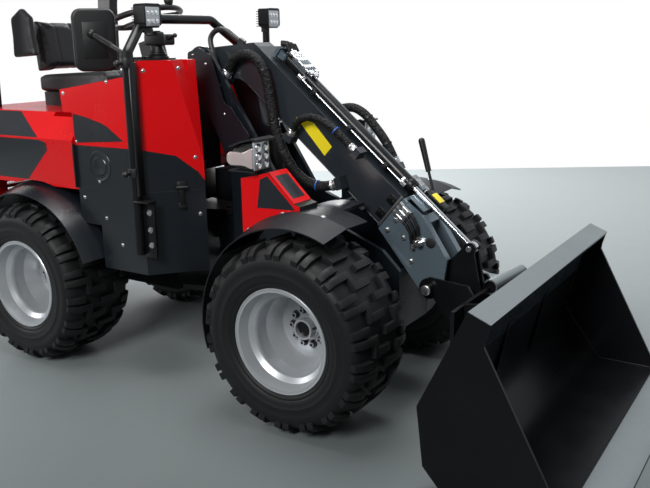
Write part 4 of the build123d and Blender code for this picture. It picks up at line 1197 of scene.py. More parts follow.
@dataclass(frozen=True)
class GuardFittings:
    """Foot plate, clamps and work lamps of the tube guard."""

    post_y: float = -566.0
    post_x: float = -812.0
    bolt_heights: tuple[float, ...] = (789, 713, 645)
    clamp_heights: tuple[float, ...] = (960, 1416)
    lamps: tuple[tuple[str, float, float], ...] = (("right", -394, 1604), ("left", 476, 1606))
    bolt: Outline = ((0.0, 0.013), (0.006, 0.0125), (0.0085, 0.010), (0.0085, 0.003), (0.014, 0.003), (0.014, 0.0))
    washer: Outline = ((0.0145, 0.0022), (0.0145, 0.0), (0.0, 0.0))
    clamp: Outline = ((0.0212, -0.020), (0.029, -0.020), (0.030, -0.016), (0.030, 0.016), (0.029, 0.020),
                      (0.0212, 0.020))
    dish: Outline = ((0.0055, 0.0002), (0.0085, 0.0012), (0.0095, 0.0012), (0.0098, 0.0))
    ribs: int = 7
    rib_gap: float = 12.0

    def build(self) -> None:
        """Add every piece of the guard."""
        foot = Shape().box(at(-766, -550, 712), (0.080, 0.010, 0.250))
        foot.box(at(-766, self.post_y, 838), (0.084, 0.054, 0.008)).blend_edges(0.002)
        foot.place("guard_foot", Body.CHASSIS, BLACK_PAINT)
        bar = Shape().box(at(-782, self.post_y, 1140), (0.016, 0.034, 0.56)).blend_edges(0.003)
        bar.place("guard_bar", Body.CHASSIS, BLACK_PAINT)
        bolts = Shape()
        for z in self.bolt_heights:
            for profile, segments in ((self.bolt, 6), (self.washer, 32)):
                bolts.lathe(profile, at(-752, -555, z), sideways(-1), segments)
        bolts.place("guard_bolts", Body.CHASSIS, ZINC)
        clamps = Shape()
        for z in self.clamp_heights:
            clamps.lathe(self.clamp, at(self.post_x, self.post_y, z), UP, 48)
            clamps.rod(at(self.post_x, -590, z), at(self.post_x, -624, z), 0.007, 0.006)
            clamps.ball(at(self.post_x, -622, z), 0.014, (1.0, 0.8, 1.0))
        clamps.place("guard_clamps", Body.CHASSIS, PLASTIC)
        for name, y, z in self.lamps:
            self.lamp(name, y, z)

    def lamp(self, name: str, y: float, z: float) -> None:
        """Ribbed work lamp with two rows of three diodes behind a clear lens.

        Args:
            name: Name of its side.
            y: Side distance of its middle in the drawing.
            z: Height of its middle in the drawing.
        """
        shell = Shape().box(at(-845, y, z), (0.054, 0.092, 0.092)).blend_edges(0.008, 3)
        for number in range(self.ribs):
            height = z + (number - (self.ribs - 1) / 2) * self.rib_gap
            shell.box(at(-880, y, height), (0.030, 0.090, 0.0035))
        shell.box(at(-872, y, z - 54), (0.030, 0.030, 0.022))
        shell.place(f"work_lamp_shell_{name}", Body.CHASSIS, PLASTIC)
        pane = Shape().box(at(-817, y, z), (0.006, 0.080, 0.080)).blend_edges(0.0022)
        pane.place(f"work_lamp_pane_{name}", Body.CHASSIS, LAMP_PANE)
        dishes, diodes = Shape(), Shape()
        for row in (-1, 1):
            for column in (-1, 0, 1):
                spot = at(-813.6, y + column * 24, z + row * 17)
                dishes.lathe(self.dish, spot, AHEAD, 24)
                diodes.ball(spot, 0.0050, (0.5, 1.0, 1.0))
        dishes.place(f"work_lamp_dishes_{name}", Body.CHASSIS, MIRROR_CHROME, smooth_below=60)
        diodes.place(f"work_lamp_diodes_{name}", Body.CHASSIS, LENS)


@dataclass(frozen=True)
class Mirror:
    """Rounded mirror with its glass, ball joint and ribbed arm."""

    middle: Point = (-1034, -527, 1511)
    across: Point = (0.6, 0.8, 0.0)
    outward: Point = (0.8, -0.6, 0.0)
    arm_start: Point = (-1036, -548, 1542)
    arm_end: Point = (-818, -566, 1452)
    rib: Outline = ((0.0095, -0.005), (0.0125, -0.003), (0.0125, 0.003), (0.0095, 0.005))
    collar: Outline = ((0.0212, -0.018), (0.028, -0.018), (0.028, 0.018), (0.0212, 0.018))
    ribs: int = 9
    corner_steps: int = 10

    def outline(self, middle: Vector, width: float, height: float, corner: float) -> list[Vector]:
        """Rounded upright rectangle in the plane of the glass.

        Args:
            middle: Its middle.
            width: Its whole width.
            height: Its whole height.
            corner: Radius of its corners.

        Returns:
            The corners in order, with several to each rounding.
        """
        points = []
        for quarter, (i, k) in enumerate(((1, 1), (-1, 1), (-1, -1), (1, -1))):
            for step in range(self.corner_steps):
                angle = radians(90 * quarter + 10 * step)
                points.append(middle + Vector(self.across) * (i * (width / 2 - corner) + corner * cos(angle))
                              + UP * (k * (height / 2 - corner) + corner * sin(angle)))
        return points

    def build(self) -> None:
        """Add the mirror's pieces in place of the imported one."""
        out = Vector(self.outward)
        middle = at(*self.middle)
        shell = Shape().prism(self.outline(middle + out * 0.015, 0.182, 0.262, 0.040), out * -0.030)
        shell.blend_edges(0.013, 5, sharper_than=50)
        shell.place("mirror_shell", Body.CHASSIS, PLASTIC, smooth_below=50, replaces=("mirror",))
        glass = Shape().prism(self.outline(middle - out * 0.0140, 0.160, 0.238, 0.034), out * -0.0022)
        glass.place("mirror_glass", Body.CHASSIS, MIRROR_CHROME, "chrome")
        turn = Matrix((Vector(self.across), out, UP)).transposed()
        pad = Shape().box(middle + out * 0.0165, (0.100, 0.003, 0.150), turn).blend_edges(0.0013)
        pad.place("mirror_back_pad", Body.CHASSIS, PLASTIC)
        start, end = at(*self.arm_start), at(*self.arm_end)
        run = (end - start).normalized()
        arm = Shape().rod(start, end, 0.0095)
        for number in range(self.ribs):
            arm.lathe(self.rib, start + run * (0.045 + 0.012 * number), run, 32)
        arm.ball(start + Vector((0.010, -0.002, -0.004)), 0.019)
        arm.lathe(self.collar, at(-812, -566, 1446), UP, 40)
        arm.place("mirror_arm", Body.CHASSIS, PLASTIC)


# Driver's place


@dataclass(frozen=True)
class Pad:
    """Padded piece of the seat, inflated from a smaller start shape."""

    name: str
    node: str
    outline: Outline
    half_width: float
    middle_y: float
    fill: float
    cap: float = 0.010
    channels: int = 0
    inset: float = 9.0
    side_inset: float = 10.0
    pressure: float = 4.0
    last_frame: int = 20
    channel_half: float = 0.012
    channel_depth: float = 0.004

    def build(self) -> None:
        """Model the pad, puff it up with cloth pressure and give it its seams."""
        centre = Vector((sum(x for x, z in self.outline) / len(self.outline), 0.0,
                         sum(z for x, z in self.outline) / len(self.outline)))
        half = self.half_width - self.side_inset
        corners = []
        for x, z in self.outline:
            away = Vector((x, 0.0, z)) - centre
            place = centre + away.normalized() * max(0.0, away.length - self.inset)
            corners.append(at(place.x, self.middle_y + half, place.z))
        shape = Shape().prism(corners, Vector((0.0, -2 * half / 1000, 0.0))).blend_edges(0.010, 3)
        piece = shape.place(self.name, Body.CHASSIS, VINYL, smooth_below=80, replaces=(self.node,))
        self.inflate(piece)
        self.channel(piece)

    def inflate(self, piece: bpy.types.Object) -> None:
        """Remesh the pad and let cloth pressure crown it, no further than the cap.

        Args:
            piece: The pad.
        """
        bpy.context.view_layer.objects.active = piece
        remesh = piece.modifiers.new("remesh", "REMESH")
        remesh.mode = "VOXEL"
        remesh.voxel_size = 0.006
        self.apply(piece)
        start = [vert.co.copy() for vert in piece.data.vertices]
        cloth = piece.modifiers.new("cloth", "CLOTH")
        cloth.settings.use_pressure = True
        cloth.settings.uniform_pressure_force = self.pressure
        cloth.settings.effector_weights.gravity = 0.0
        cloth.settings.quality = 5
        for number in range(1, self.last_frame + 1):
            bpy.context.scene.frame_set(number)
        self.apply(piece)
        bpy.context.scene.frame_set(1)
        for vert, before in zip(piece.data.vertices, start):
            move = vert.co - before
            if move.length > self.cap:
                vert.co = before + move.normalized() * self.cap
        piece.data.shade_smooth()
        smooth = piece.modifiers.new("smooth", "SUBSURF")
        smooth.levels = smooth.render_levels = 1

    def channel(self, piece: bpy.types.Object) -> None:
        """Press sewn channels across the pad.

        Args:
            piece: The pad.
        """
        step = 2 * self.half_width / 1000 / (self.channels + 1)
        low = (self.middle_y - self.half_width) / 1000
        for vert in piece.data.vertices:
            for number in range(1, self.channels + 1):
                gap = abs(vert.co.y - (low + number * step))
                if gap < self.channel_half:
                    vert.co -= vert.normal * self.channel_depth * (1 - gap / self.channel_half) ** 2

    @staticmethod
    def apply(piece: bpy.types.Object) -> None:
        """Replace the mesh by its evaluated form and drop the modifiers.

        Args:
            piece: The object to change.
        """
        graph = bpy.context.evaluated_depsgraph_get()
        mesh = bpy.data.meshes.new_from_object(piece.evaluated_get(graph))
        materials = list(piece.data.materials)
        piece.modifiers.clear()
        piece.data = mesh
        mesh.materials.clear()
        for material in materials:
            mesh.materials.append(material)


@dataclass(frozen=True)
class DriverPlace:
    """Seat pads, joystick, switches and the steering wheel's knob."""

    pads: tuple[Pad, ...] = (
        Pad("seat_pad", "seat_cushion", ((-1846, 1266), (-1332, 1266), (-1304, 1292), (-1312, 1346), (-1342, 1360),
                                         (-1846, 1336)), 226, 0, 0.7, channels=3),
        Pad("back_pad", "seat_back", ((-1846, 1350), (-1764, 1370), (-1794, 1596), (-1830, 1626), (-1876, 1616)),
            222, 0, 0.7, channels=3),
        Pad("armrest_pad", "armrest", ((-1878, 1424), (-1703, 1433), (-1722, 1638), (-1790, 1686), (-1878, 1638)),
            29, -300, 0.8, cap=0.004),
    )
    folds: int = 5
    wheel_middle: Point = (-1250, 0, 1610)
    wheel_lean: Point = (-190, 0, 726)
    knob_radius: float = 0.175
    knob: Outline = ((0.010, -0.004), (0.010, 0.012), (0.018, 0.022), (0.0225, 0.036), (0.020, 0.050), (0.010, 0.058),
                     (0.0, 0.0595))
    boss: Outline = ((0.046, 0.012), (0.043, 0.018), (0.020, 0.021), (0.0, 0.022))

    def build(self) -> None:
        """Add the pads and the controls."""
        for pad in self.pads:
            pad.build()
        self.joystick()
        self.wheel()

    def joystick(self) -> None:
        """Bellows and a grip with buttons on the console, and two rows of switches."""
        profile = [(0.047, 0.0)]
        for number in range(self.folds):
            outer, run = 0.046 - number * 0.006, number * 0.010
            profile += [(outer, run + 0.004), (outer - 0.007, run + 0.009)]
        profile += [(0.014, 0.056), (0.014, 0.060)]
        bellows = Shape().lathe(profile, at(-850, -340, 1432), UP, 48)
        bellows.place("joystick_bellows", Body.CHASSIS, RUBBER, "plastic", smooth_below=50)
        grip = Shape().box(at(-838, -340, 1508), (0.130, 0.062, 0.046))
        grip.box(at(-858, -338, 1532), (0.060, 0.046, 0.020)).blend_edges(0.009, 4)
        grip.rod(at(-850, -340, 1478), at(-846, -340, 1494), 0.016, 0.019)
        grip.rod(at(-778, -346, 1510), at(-738, -350, 1524), 0.0075, 0.0065, 24)
        grip.ball(at(-736, -350, 1525), 0.0095)
        grip.place("joystick_grip", Body.CHASSIS, PLASTIC, smooth_below=45)
        switches = Shape()
        for row in range(2):
            for column in range(4):
                switches.box(at(-895 + row * 34, -455 + column * 24, 1433), (0.020, 0.015, 0.009))
        switches.blend_edges(0.0018).place("console_switches", Body.CHASSIS, PLASTIC)

    def wheel(self) -> None:
        """Spinner knob and boss cap of the steering wheel."""
        middle = at(*self.wheel_middle)
        lean = Vector(self.wheel_lean).normalized()
        spot = middle + Vector((lean.z, 0.0, -lean.x)) * self.knob_radius
        knob = Shape().lathe(self.knob, spot, lean, 32).lathe(self.boss, middle, lean, 48)
        knob.place("wheel_knob", Body.CHASSIS, PLASTIC)


# Boom, cylinders and head


@dataclass(frozen=True)
class Boom:
    """Trim of the telescopic boom: blank plate, ties, ferrules, pipes and fittings."""

    knee: tuple[float, float] = (-560.0, 1408.0)
    slope: float = radians(40.3)
    plate: Outline = ((345, -19), (428, 24), (561, 8), (559, -48))
    # Extra radius over the hose and run from its end
    ferrule: Outline = ((0.0004, 0.030), (0.002, 0.029), (0.0026, 0.024), (0.0014, 0.022), (0.0026, 0.020),
                        (0.0014, 0.017), (0.0028, 0.014), (0.0028, 0.001), (0.0004, 0.0006))
    anchor_bolt: Outline = ((0.0, 0.0045), (0.007, 0.0045), (0.0075, 0.004), (0.0075, 0.0))
    # Straps by piece: the hose, the point of its route before the strap and the share of the way to the next
    ties: tuple[tuple[str, Finish, tuple[tuple[str, int, float], ...]], ...] = (
        ("hose_ties", PLASTIC, (("hose_main", 4, 0.5), ("hose_main", 7, 0.2), ("hose_main", 9, 0.5),
                                ("hose_upper", 2, 0.6), ("hose_left", 2, 0.5), ("hose_left", 4, 0.5))),
        ("hose_ties_blue", TIE_BLUE, (("hose_main", 11, 0.5), ("hose_upper", 4, 0.4))),
    )
    strap_gap: float = 0.0012
    strap: Outline = ((0.0, -0.0035), (0.0016, -0.0030), (0.0016, 0.0030), (0.0, 0.0035))
    pad_lifts: tuple[float, ...] = (40, -40)
    pad_bolt: Outline = ((0.0, 0.006), (0.0065, 0.006), (0.0070, 0.0055), (0.0070, 0.0))
    seam_lift: float = 82.74
    clamp_runs: tuple[float, ...] = (330, 560, 790)
    # Side distance, first run and last run of each pipe on the manifold
    manifold_pipes: tuple[Point, ...] = ((-27, 118, 276), (-9, 104, 292), (9, 112, 284), (27, 122, 268))
    gland: Outline = ((0.0275, -0.004), (0.0285, -0.002), (0.0285, 0.022), (0.0260, 0.0265), (0.0150, 0.0270))
    crank_cap: Outline = ((0.0, 0.004), (0.011, 0.004), (0.0125, 0.0025), (0.0125, 0.0))
    head_bolts: Outline = ((985, 50), (985, -10), (985, -70), (1060, -40), (1150, -90), (1130, 20))
    head_bolt: Outline = ((0.0, 0.0075), (0.008, 0.0075), (0.009, 0.0065), (0.009, 0.0), (0.0145, 0.0),
                          (0.0145, -0.0010))
    head_cap: Outline = ((0.0, 0.010), (0.018, 0.010), (0.0215, 0.008), (0.0215, 0.0))
    oval: Outline = ((0.0, 0.0014), (0.020, 0.0012), (0.022, 0.0))
    # Lift and side distance of each formed hose where it leaves the boom
    head_hoses: Outline = ((66, -94), (44, -96), (20, -94))
    tube_near: Point = (566, 30, 500)
    tube_far: Point = (598, 310, 500)
    tube: Outline = ((0.026, 0.004), (0.026, 0.0), (0.032, 0.0), (0.032, 0.282), (0.026, 0.282), (0.026, 0.278))
    tube_ends: tuple[Outline, ...] = (((0.0, 0.012), (0.026, 0.012), (0.0258, 0.002)),
                                      ((0.0, 0.270), (0.026, 0.270), (0.0258, 0.280)))
    hitch_plate: Outline = ((418, 520), (446, 504), (480, 494), (512, 492), (545, 497), (545, 489), (512, 484),
                            (478, 486), (442, 496), (414, 512))
    coupler_ports: tuple[float, ...] = (88, 104, 120, 136)

    def on(self, run: float, lift: float, y: float) -> Vector:
        """Place on the boom, from its knee.

        Args:
            run: Millimetres down the boom.
            lift: Millimetres square to it, upwards.
            y: Side distance.

        Returns:
            The place in metres.
        """
        x = self.knee[0] + run * cos(self.slope) + lift * sin(self.slope)
        z = self.knee[1] - run * sin(self.slope) + lift * cos(self.slope)
        return at(x, y, z)

    @property
    def down(self) -> Vector:
        """Direction down the boom."""
        return Vector((cos(self.slope), 0.0, -sin(self.slope)))

    @property
    def turn(self) -> Matrix:
        """Rotation of blocks that lie along the boom."""
        return Matrix((self.down, sideways(1), (sin(self.slope), 0.0, cos(self.slope)))).transposed()

    def build(self) -> None:
        """Add every piece of the boom's trim."""
        plate = Shape()
        for s in HANDS.values():
            plate.prism([self.on(run, lift, s * 75.2) for run, lift in self.plate], sideways(s) * 0.0008)
        plate.place("blank_plate", Body.BOOM, YELLOW_PLATE)
        self.hose_ends()
        self.tie_bands()
        self.wear_pads()
        self.pipes()
        self.ports()
        self.head()
        self.head_fittings()
        self.hitch()
        self.coupler()

    def hose_ends(self) -> None:
        """Steel ferrules where the sleeved hoses meet their blocks, and the bolt heads beyond them."""
        ferrules, bolts = Shape(), Shape()
        for hose in SLEEVED:
            radius = hose.diameter / 2
            for end, inward in hose.ends():
                ferrules.lathe([(radius + extra, run) for extra, run in self.ferrule], at(*end), inward, 40)
                s = -1 if end[1] < 0 else 1
                bolts.lathe(self.anchor_bolt, at(*end) - inward * 0.015, sideways(s), 6)
        ferrules.place("hose_ferrules", Body.BOOM, ZINC)
        bolts.place("anchor_bolts", Body.BOOM, ZINC)

    def tie_bands(self) -> None:
        """Straps round the hose sleeves."""
        for piece, finish, ties in self.ties:
            bands = Shape()
            for name, index, share in ties:
                hose = HOSES[name]
                before, after = (at(*place) for place in hose.route[index:index + 2])
                radius = hose.diameter / 2 + self.strap_gap
                profile = [(radius + extra, run) for extra, run in self.strap]
                bands.lathe(profile, before.lerp(after, share), (after - before).normalized(), 40)
            bands.place(piece, Body.BOOM, finish)

    def wear_pads(self) -> None:
        """Slide pads and their bolts at the mouth of the outer boom, and the seams of its sides."""
        pads = Shape()
        for s in HANDS.values():
            for lift in self.pad_lifts:
                pads.box(self.on(918, lift, s * 77), (0.044, 0.006, 0.040), self.turn)
        pads.box(self.on(935, 86, 0), (0.014, 0.060, 0.004), self.turn).blend_edges(0.0015)
        for s in HANDS.values():
            for lift in self.pad_lifts:
                for run in (909, 927):
                    pads.lathe(self.pad_bolt, self.on(run, lift, s * 80), sideways(s), 6)
        pads.place("slide_pads", Body.BOOM, BLACK_PAINT)
        seams = Shape()
        for y in (-74.4, 74.4):
            for lift in (self.seam_lift, -self.seam_lift):
                seams.rod(self.on(62, lift, y), self.on(940, lift, y), 0.0022, segments=10)
        seams.place("boom_seams", Body.BOOM, GREY_PAINT)

    def pipes(self) -> None:
        """Steel pipe with clamps beside the tilt cylinder."""
        pipe, clamps = Shape(), Shape()
        pipe.rod(self.on(230, 110, -38), self.on(905, 110, -38), 0.0048, segments=20)
        for run in (236, 898):
            pipe.rod(self.on(run - 12, 110, -38), self.on(run + 12, 110, -38), 0.0100, segments=6)
        for run in self.clamp_runs:
            clamps.box(self.on(run, 110, -34), (0.022, 0.034, 0.022), self.turn)
        clamps.blend_edges(0.003)
        for run in self.clamp_runs:
            clamps.rod(self.on(run, 121, -36), self.on(run, 126, -36), 0.005, segments=6)
        pipe.place("tilt_pipe", Body.INNER, ZINC)
        clamps.place("pipe_clamps", Body.INNER, PLASTIC)

    def ports(self) -> None:
        """Elbows and swivel nuts on the rear of the tilt cylinder, ring of its gland and caps of its pin."""
        nuts, bends = Shape(), Shape()
        for y, first, last in self.manifold_pipes:
            nuts.rod(self.on(first, 156, y), self.on(last, 150, y), 0.0062, segments=20)
            for run in (first + 16, 176, 222, last - 14):
                nuts.rod(self.on(run - 8, 155, y), self.on(run + 8, 154, y), 0.0098, segments=6)
            knee = self.on(first - 26, 168, y)
            bends.rod(self.on(first + 6, 156, y), knee, 0.0088, segments=20).ball(knee, 0.0088)
            bends.rod(knee, self.on(first - 52, 150, y * 0.8), 0.0088, segments=20)
        for run in (886, 250):
            nuts.rod(self.on(run, 124, -22), self.on(run, 116, -38), 0.0095, segments=6)
        nuts.place("manifold_fittings", Body.INNER, ZINC, smooth_below=28)
        bends.place("manifold_bends", Body.INNER, RUBBER, "hose", smooth_below=50)
        block = Shape().box(self.on(196, 146, 6), (0.090, 0.070, 0.026), self.turn).blend_edges(0.003)
        block.place("manifold_block", Body.INNER, HEAD_GREY)
        gland = Shape().lathe(self.gland, self.on(909, 116, 0), self.down, 48)
        gland.place("tilt_gland", Body.INNER, BLACK_PAINT)
        caps = Shape()
        for s in HANDS.values():
            caps.lathe(self.crank_cap, at(494.3, s * 37, 666), sideways(s), 32)
        caps.place("crank_pin_caps", Body.TOOL, ZINC)

    def head(self) -> None:
        """Bolts, pin caps and cover plate of the drop head."""
        bolts, caps = Shape(), Shape()
        for s in HANDS.values():
            for run, lift in self.head_bolts:
                bolts.lathe(self.head_bolt, self.on(run, lift, s * 80.8), sideways(s), 6)
            caps.lathe(self.head_cap, at(350, s * 126.2, 496), sideways(s), 40)
        bolts.place("head_bolts", Body.INNER, ZINC)
        caps.place("head_pin_caps", Body.LEVER, ZINC)
        cover = Shape().box(self.on(1004, 101, 0), (0.090, 0.124, 0.006), self.turn).blend_edges(0.002)
        cover.place("head_cover", Body.INNER, HEAD_GREY)

    def head_fittings(self) -> None:
        """Steel fittings, short formed hoses and an oval cover on the near side of the head."""
        steel, black = Shape(), Shape()
        for lift in (-79, 79):
            steel.box(self.on(942, 0, lift), (0.010, 0.008, 0.170), self.turn)
        for lift, y in self.head_hoses:
            start = self.on(956, lift, y)
            for first, last, radius, sides in ((0.0, 0.020, 0.0115, 6), (0.020, 0.050, 0.0088, 24),
                                               (0.050, 0.062, 0.0105, 6)):
                steel.rod(start + self.down * first, start + self.down * last, radius, segments=sides)
            points = [start + self.down * 0.060, self.on(1040, lift - 2, y - 3), self.on(1075, lift - 16, y - 3),
                      self.on(1105, lift - 44, y)]
            for a, b in zip(points, points[1:]):
                black.rod(a, b, 0.0068, segments=20).ball(b, 0.0068)
            steel.rod(b, b + (b - a).normalized() * 0.022, 0.0098, segments=6)
        steel.rod(self.on(1128, 2, -81), self.on(1128, 2, -104), 0.015, segments=6)
        steel.rod(self.on(1128, 2, -104), self.on(1128, 2, -110), 0.009, segments=24)
        steel.place("head_steel_fittings", Body.INNER, ZINC, smooth_below=28)
        black.place("head_formed_hoses", Body.INNER, RUBBER, "hose", smooth_below=50)
        dark = Shape().lathe(self.oval, self.on(1160, 34, -80.4), sideways(-1), 40)
        dark.place("head_oval", Body.INNER, SEAM_BLACK)

    def hitch(self) -> None:
        """Steel tube with its closed ends, and the plate beside the crank."""
        near, far = at(*self.tube_near), at(*self.tube_far)
        run = (far - near).normalized()
        Shape().lathe(self.tube, near, run, 64).place("hitch_tube", Body.TOOL, STEEL)
        ends = Shape()
        for profile in self.tube_ends:
            ends.lathe(profile, near, run, 48)
        ends.place("hitch_tube_ends", Body.TOOL, BLACK_PAINT)
        Shape().plate(self.hitch_plate, 86, 0.158).place("hitch_plate", Body.TOOL, STEEL)

    def coupler(self) -> None:
        """Multi-coupler on the left of the head with a blank yellow lid and its lever."""
        block = Shape().box(self.on(1020, 74, 106), (0.110, 0.050, 0.075), self.turn)
        block.box(self.on(1020, 60, 92), (0.070, 0.020, 0.090), self.turn).blend_edges(0.004, 3)
        block.place("coupler_block", Body.INNER, BLACK_PAINT)
        lid = Shape().box(self.on(1020, 113.5, 106), (0.052, 0.046, 0.003), self.turn).blend_edges(0.0010)
        lid.place("coupler_lid", Body.INNER, YELLOW_PLATE)
        foot, top = self.on(985, 96, 142), at(188, 150, 1068)
        lever = Shape().rod(foot, foot.lerp(top, 0.45), 0.007, 0.006, 24)
        lever.rod(foot.lerp(top, 0.42), top, 0.012, 0.014).ball(top, 0.014)
        lever.place("coupler_lever", Body.INNER, PLASTIC)
        ends = Shape()
        for y in self.coupler_ports:
            foot = self.on(966, 92, y)
            for first, last, radius, end_radius, sides in ((0.0, 0.026, 0.0078, 0.0078, 24),
                                                           (0.010, 0.030, 0.0098, 0.0098, 6),
                                                           (0.034, 0.082, 0.0086, 0.0080, 24),
                                                           (0.082, 0.096, 0.0096, 0.0096, 6)):
                ends.rod(foot - self.down * first, foot - self.down * last, radius, end_radius, sides)
        ends.place("coupler_hose_ends", Body.INNER, ZINC, smooth_below=28)


# Front frame


@dataclass(frozen=True)
class FrontTrim:
    """Headlamps, lamp tower skins, fender bolts and tower screws."""

    tower_screws: Outline = ((-808, 1440), (-735, 1400), (-640, 1180), (-540, 1060))
    tower_screw: Outline = ((0.0, 0.0038), (0.004, 0.0034), (0.0062, 0.0020), (0.0068, 0.0), (0.0, -0.0005))
    fender_angles: tuple[float, ...] = (80, 104, 128)
    fender_radius: float = 466.5
    fender_screw: Outline = ((0.0, 0.005), (0.006, 0.004), (0.008, 0.001), (0.011, 0.0), (0.0, -0.0005))
    lamp_shell: Outline = ((-344, 1004), (-352, 1074), (-300, 1104), (-236, 1114), (-230, 990), (-290, 992))
    brow: Outline = ((-352, 1092), (-290, 1114), (-240, 1126), (-216, 1120), (-216, 1112), (-240, 1117),
                     (-290, 1106), (-352, 1084))
    side_lens: Outline = ((-362, 1018), (-369, 1030), (-370, 1046), (-364, 1060), (-352, 1068), (-320, 1068),
                          (-296, 1066), (-272, 1074), (-252, 1084), (-237, 1088), (-237, 1002), (-252, 1004),
                          (-276, 1012), (-300, 1014), (-346, 1012))
    lens_lines: int = 13
    dish: Outline = ((0.007, 0.0004), (0.013, 0.0020), (0.0150, 0.0034), (0.0165, 0.0034), (0.0168, 0.0))
    skin: Outline = ((-329, 732), (-329, 956), (-191, 988), (-71, 871), (-42, 863), (-42, 846), (-90, 838),
                     (-140, 825), (-190, 806), (-240, 779), (-290, 744))
    panel: Outline = ((-250, 842), (-232, 958), (-196, 975), (-80, 866), (-66, 848))
    facet_run: Point = (120.0, 0.0, -118.0)

    def build(self) -> None:
        """Add every piece of the front frame's trim."""
        screws = Shape()
        for hand, s in HANDS.items():
            self.headlamp(hand, s)
            self.tower(hand, s)
            for x, z in self.tower_screws:
                screws.lathe(self.tower_screw, at(x, s * 164, z), sideways(s), 20)
            for angle in self.fender_angles:
                along, up = cos(radians(angle)), sin(radians(angle))
                spot = at(self.fender_radius * along, s * 470, 384 + self.fender_radius * up)
                screws.lathe(self.fender_screw, spot, Vector((along, 0.0, up)), 20)
        screws.place("tower_screws", Body.FRONT, ZINC)

    def headlamp(self, hand: str, s: int) -> None:
        """Lamp with a clear side lens, a face of diodes and a black brow and stalk.

        Args:
            hand: Name of the side.
            s: Its sign.
        """
        shell = Shape().plate(self.lamp_shell, s * 372, s * 0.102).blend_edges(0.008, 3)
        shell.plate(self.brow, s * 360, s * 0.132).box(at(-300, s * 430, 991), (0.130, 0.110, 0.006))
        shell.box(at(-282, s * 400, 984), (0.040, 0.060, 0.034))
        shell.place(f"headlamp_shell_{hand}", Body.FRONT, PLASTIC, replaces=(f"headlamp_{hand}",))
        lens = Shape().plate(self.side_lens, s * 472, s * 0.018).blend_edges(0.0055, 3, sharper_than=50)
        for number in range(self.lens_lines):
            x = -342 + number * 5
            lens.rod(at(x, s * 489.4, 1020), at(x, s * 489.4, 1060), 0.0011, segments=8)
        lens.place(f"headlamp_side_{hand}", Body.FRONT, SIDE_LENS)
        face = Shape().box(at(-231, s * 439, 1054), (0.007, 0.100, 0.112)).blend_edges(0.0030)
        face.place(f"headlamp_reflector_{hand}", Body.FRONT, LAMP_PANE)
        dishes, diodes = Shape(), Shape()
        for row in (-1, 0, 1):
            for column in (-1, 1):
                spot = at(-227.2, s * 439 + column * 23, 1054 + row * 34)
                dishes.lathe(self.dish, spot, AHEAD, 32)
                diodes.ball(spot, 0.0065, (0.6, 1.0, 1.0))
        dishes.place(f"headlamp_dishes_{hand}", Body.FRONT, MIRROR_CHROME, smooth_below=60)
        diodes.place(f"headlamp_diodes_{hand}", Body.FRONT, LENS)

    def tower(self, hand: str, s: int) -> None:
        """Red skins on the lamp tower with a plain dark panel.

        Args:
            hand: Name of the side.
            s: Its sign.
        """
        slope = Vector(self.facet_run).normalized()
        out = Vector((-slope.z, 0.0, slope.x))
        middle = at(-130, s * 390, 931) + out * 0.0009
        turn = Matrix((slope, sideways(1), out)).transposed()
        red = Shape().plate(self.skin, s * 450.2, s * 0.0016).box(middle, (0.166, 0.1195, 0.0016), turn)
        red.place(f"tower_skin_{hand}", Body.FRONT, RED_PAINT)
        dark = Shape().plate(self.panel, s * 452, s * 0.0007)
        dark.box(middle + out * 0.0010, (0.120, 0.084, 0.0008), turn)
        dark.place(f"tower_panel_{hand}", Body.FRONT, DECAL)


# Bucket


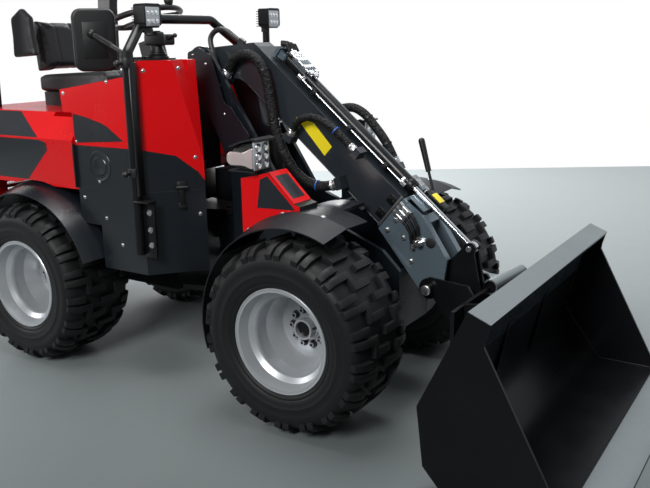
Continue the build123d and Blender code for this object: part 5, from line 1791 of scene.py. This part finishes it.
@dataclass(frozen=True)
class BucketTrim:
    """Cutting edge, spill edge, vents and weld lines of the bucket; the vents are pale strips of painted light,
    standing in for light seen through the slots.
    """

    vents: int = 55
    vent_gap: float = 25.0
    back_low: Point = (684.0, 0.0, 242.0)
    back_high: Point = (788.0, 0.0, 636.0)
    cutting_edge: Outline = ((1110, 16.2), (1226, 16.2), (1254, 4.4), (1253, 5.4), (1226, 17.2), (1110, 17.2))
    spill_edge: Outline = ((778, 654.2), (856, 622.2), (856.6, 623.4), (778.6, 655.4))
    weld: Outline = ((1110, 12), (863, 12), (686, 242), (786, 630))
    seam_y: float = 717.0
    seam: Outline = ((836, 560), (828, 503), (793, 427), (767, 351), (759, 260), (784, 176), (842, 118), (930, 88),
                     (1020, 74))

    def build(self) -> None:
        """Add every piece of the bucket's trim."""
        edge = Shape().plate(self.cutting_edge, -716, 1.432).plate(self.spill_edge, -718, 1.436)
        edge.place("bucket_edges", Body.TOOL, STEEL, "black_paint")
        low = Vector(self.back_low)
        run = Vector(self.back_high) - low
        up = run.normalized()
        inward = Vector((up.z, 0.0, -up.x))
        turn = Matrix((up, sideways(1), inward)).transposed()
        middle = low + up * (run.length - 118) + inward * 0.8
        vents, welds, seam = Shape(), Shape(), Shape()
        # Pale steel strips on the back wall: painted light, standing in for light seen through the vent slots.
        for number in range(self.vents):
            y = (number - (self.vents - 1) / 2) * self.vent_gap
            vents.box(at(middle.x, y, middle.z), (0.190, 0.0035, 0.0016), turn)
        vents.place("bucket_vents_painted_light", Body.TOOL, HEAD_GREY, "black_paint")
        for s in HANDS.values():
            for (x0, z0), (x1, z1) in zip(self.weld, self.weld[1:]):
                welds.rod(at(x0, s * 709, z0), at(x1, s * 709, z1), 0.0034, segments=10)
            points = [at(x, s * self.seam_y, z) for x, z in self.seam]
            for start, end in zip(points, points[1:]):
                seam.rod(start, end, 0.0028, segments=10).ball(end, 0.0028)
        welds.rod(at(1110, -706, 16), at(1110, 706, 16), 0.0030, segments=10)
        welds.place("bucket_welds", Body.TOOL, BLACK_PAINT)
        seam.place("bucket_side_seams", Body.TOOL, SEAM_BLACK, "black_paint")


def main() -> None:
    """Build the studio and every piece in order."""
    Camera().build()
    for hose in HOSES.values():
        hose.build()
        log.info("laid %s, %.0f mm long", hose.name, hose.length * 1000)
    Studio().build()
    dress_all()
    log.info("dressed %d parts", len(frame["nodes"]))
    tread = Tyre().build()
    for end in AXLES:
        for hand in HANDS:
            Wheel(end, hand).build(tread)
            log.info("built wheel %s %s", end, hand)
    for group in (Bodywork(), GuardFittings(), Mirror(), DriverPlace(), Boom(), FrontTrim(), BucketTrim()):
        group.build()
        log.info("built %s", type(group).__name__)


if __name__ == "__main__":
    main()
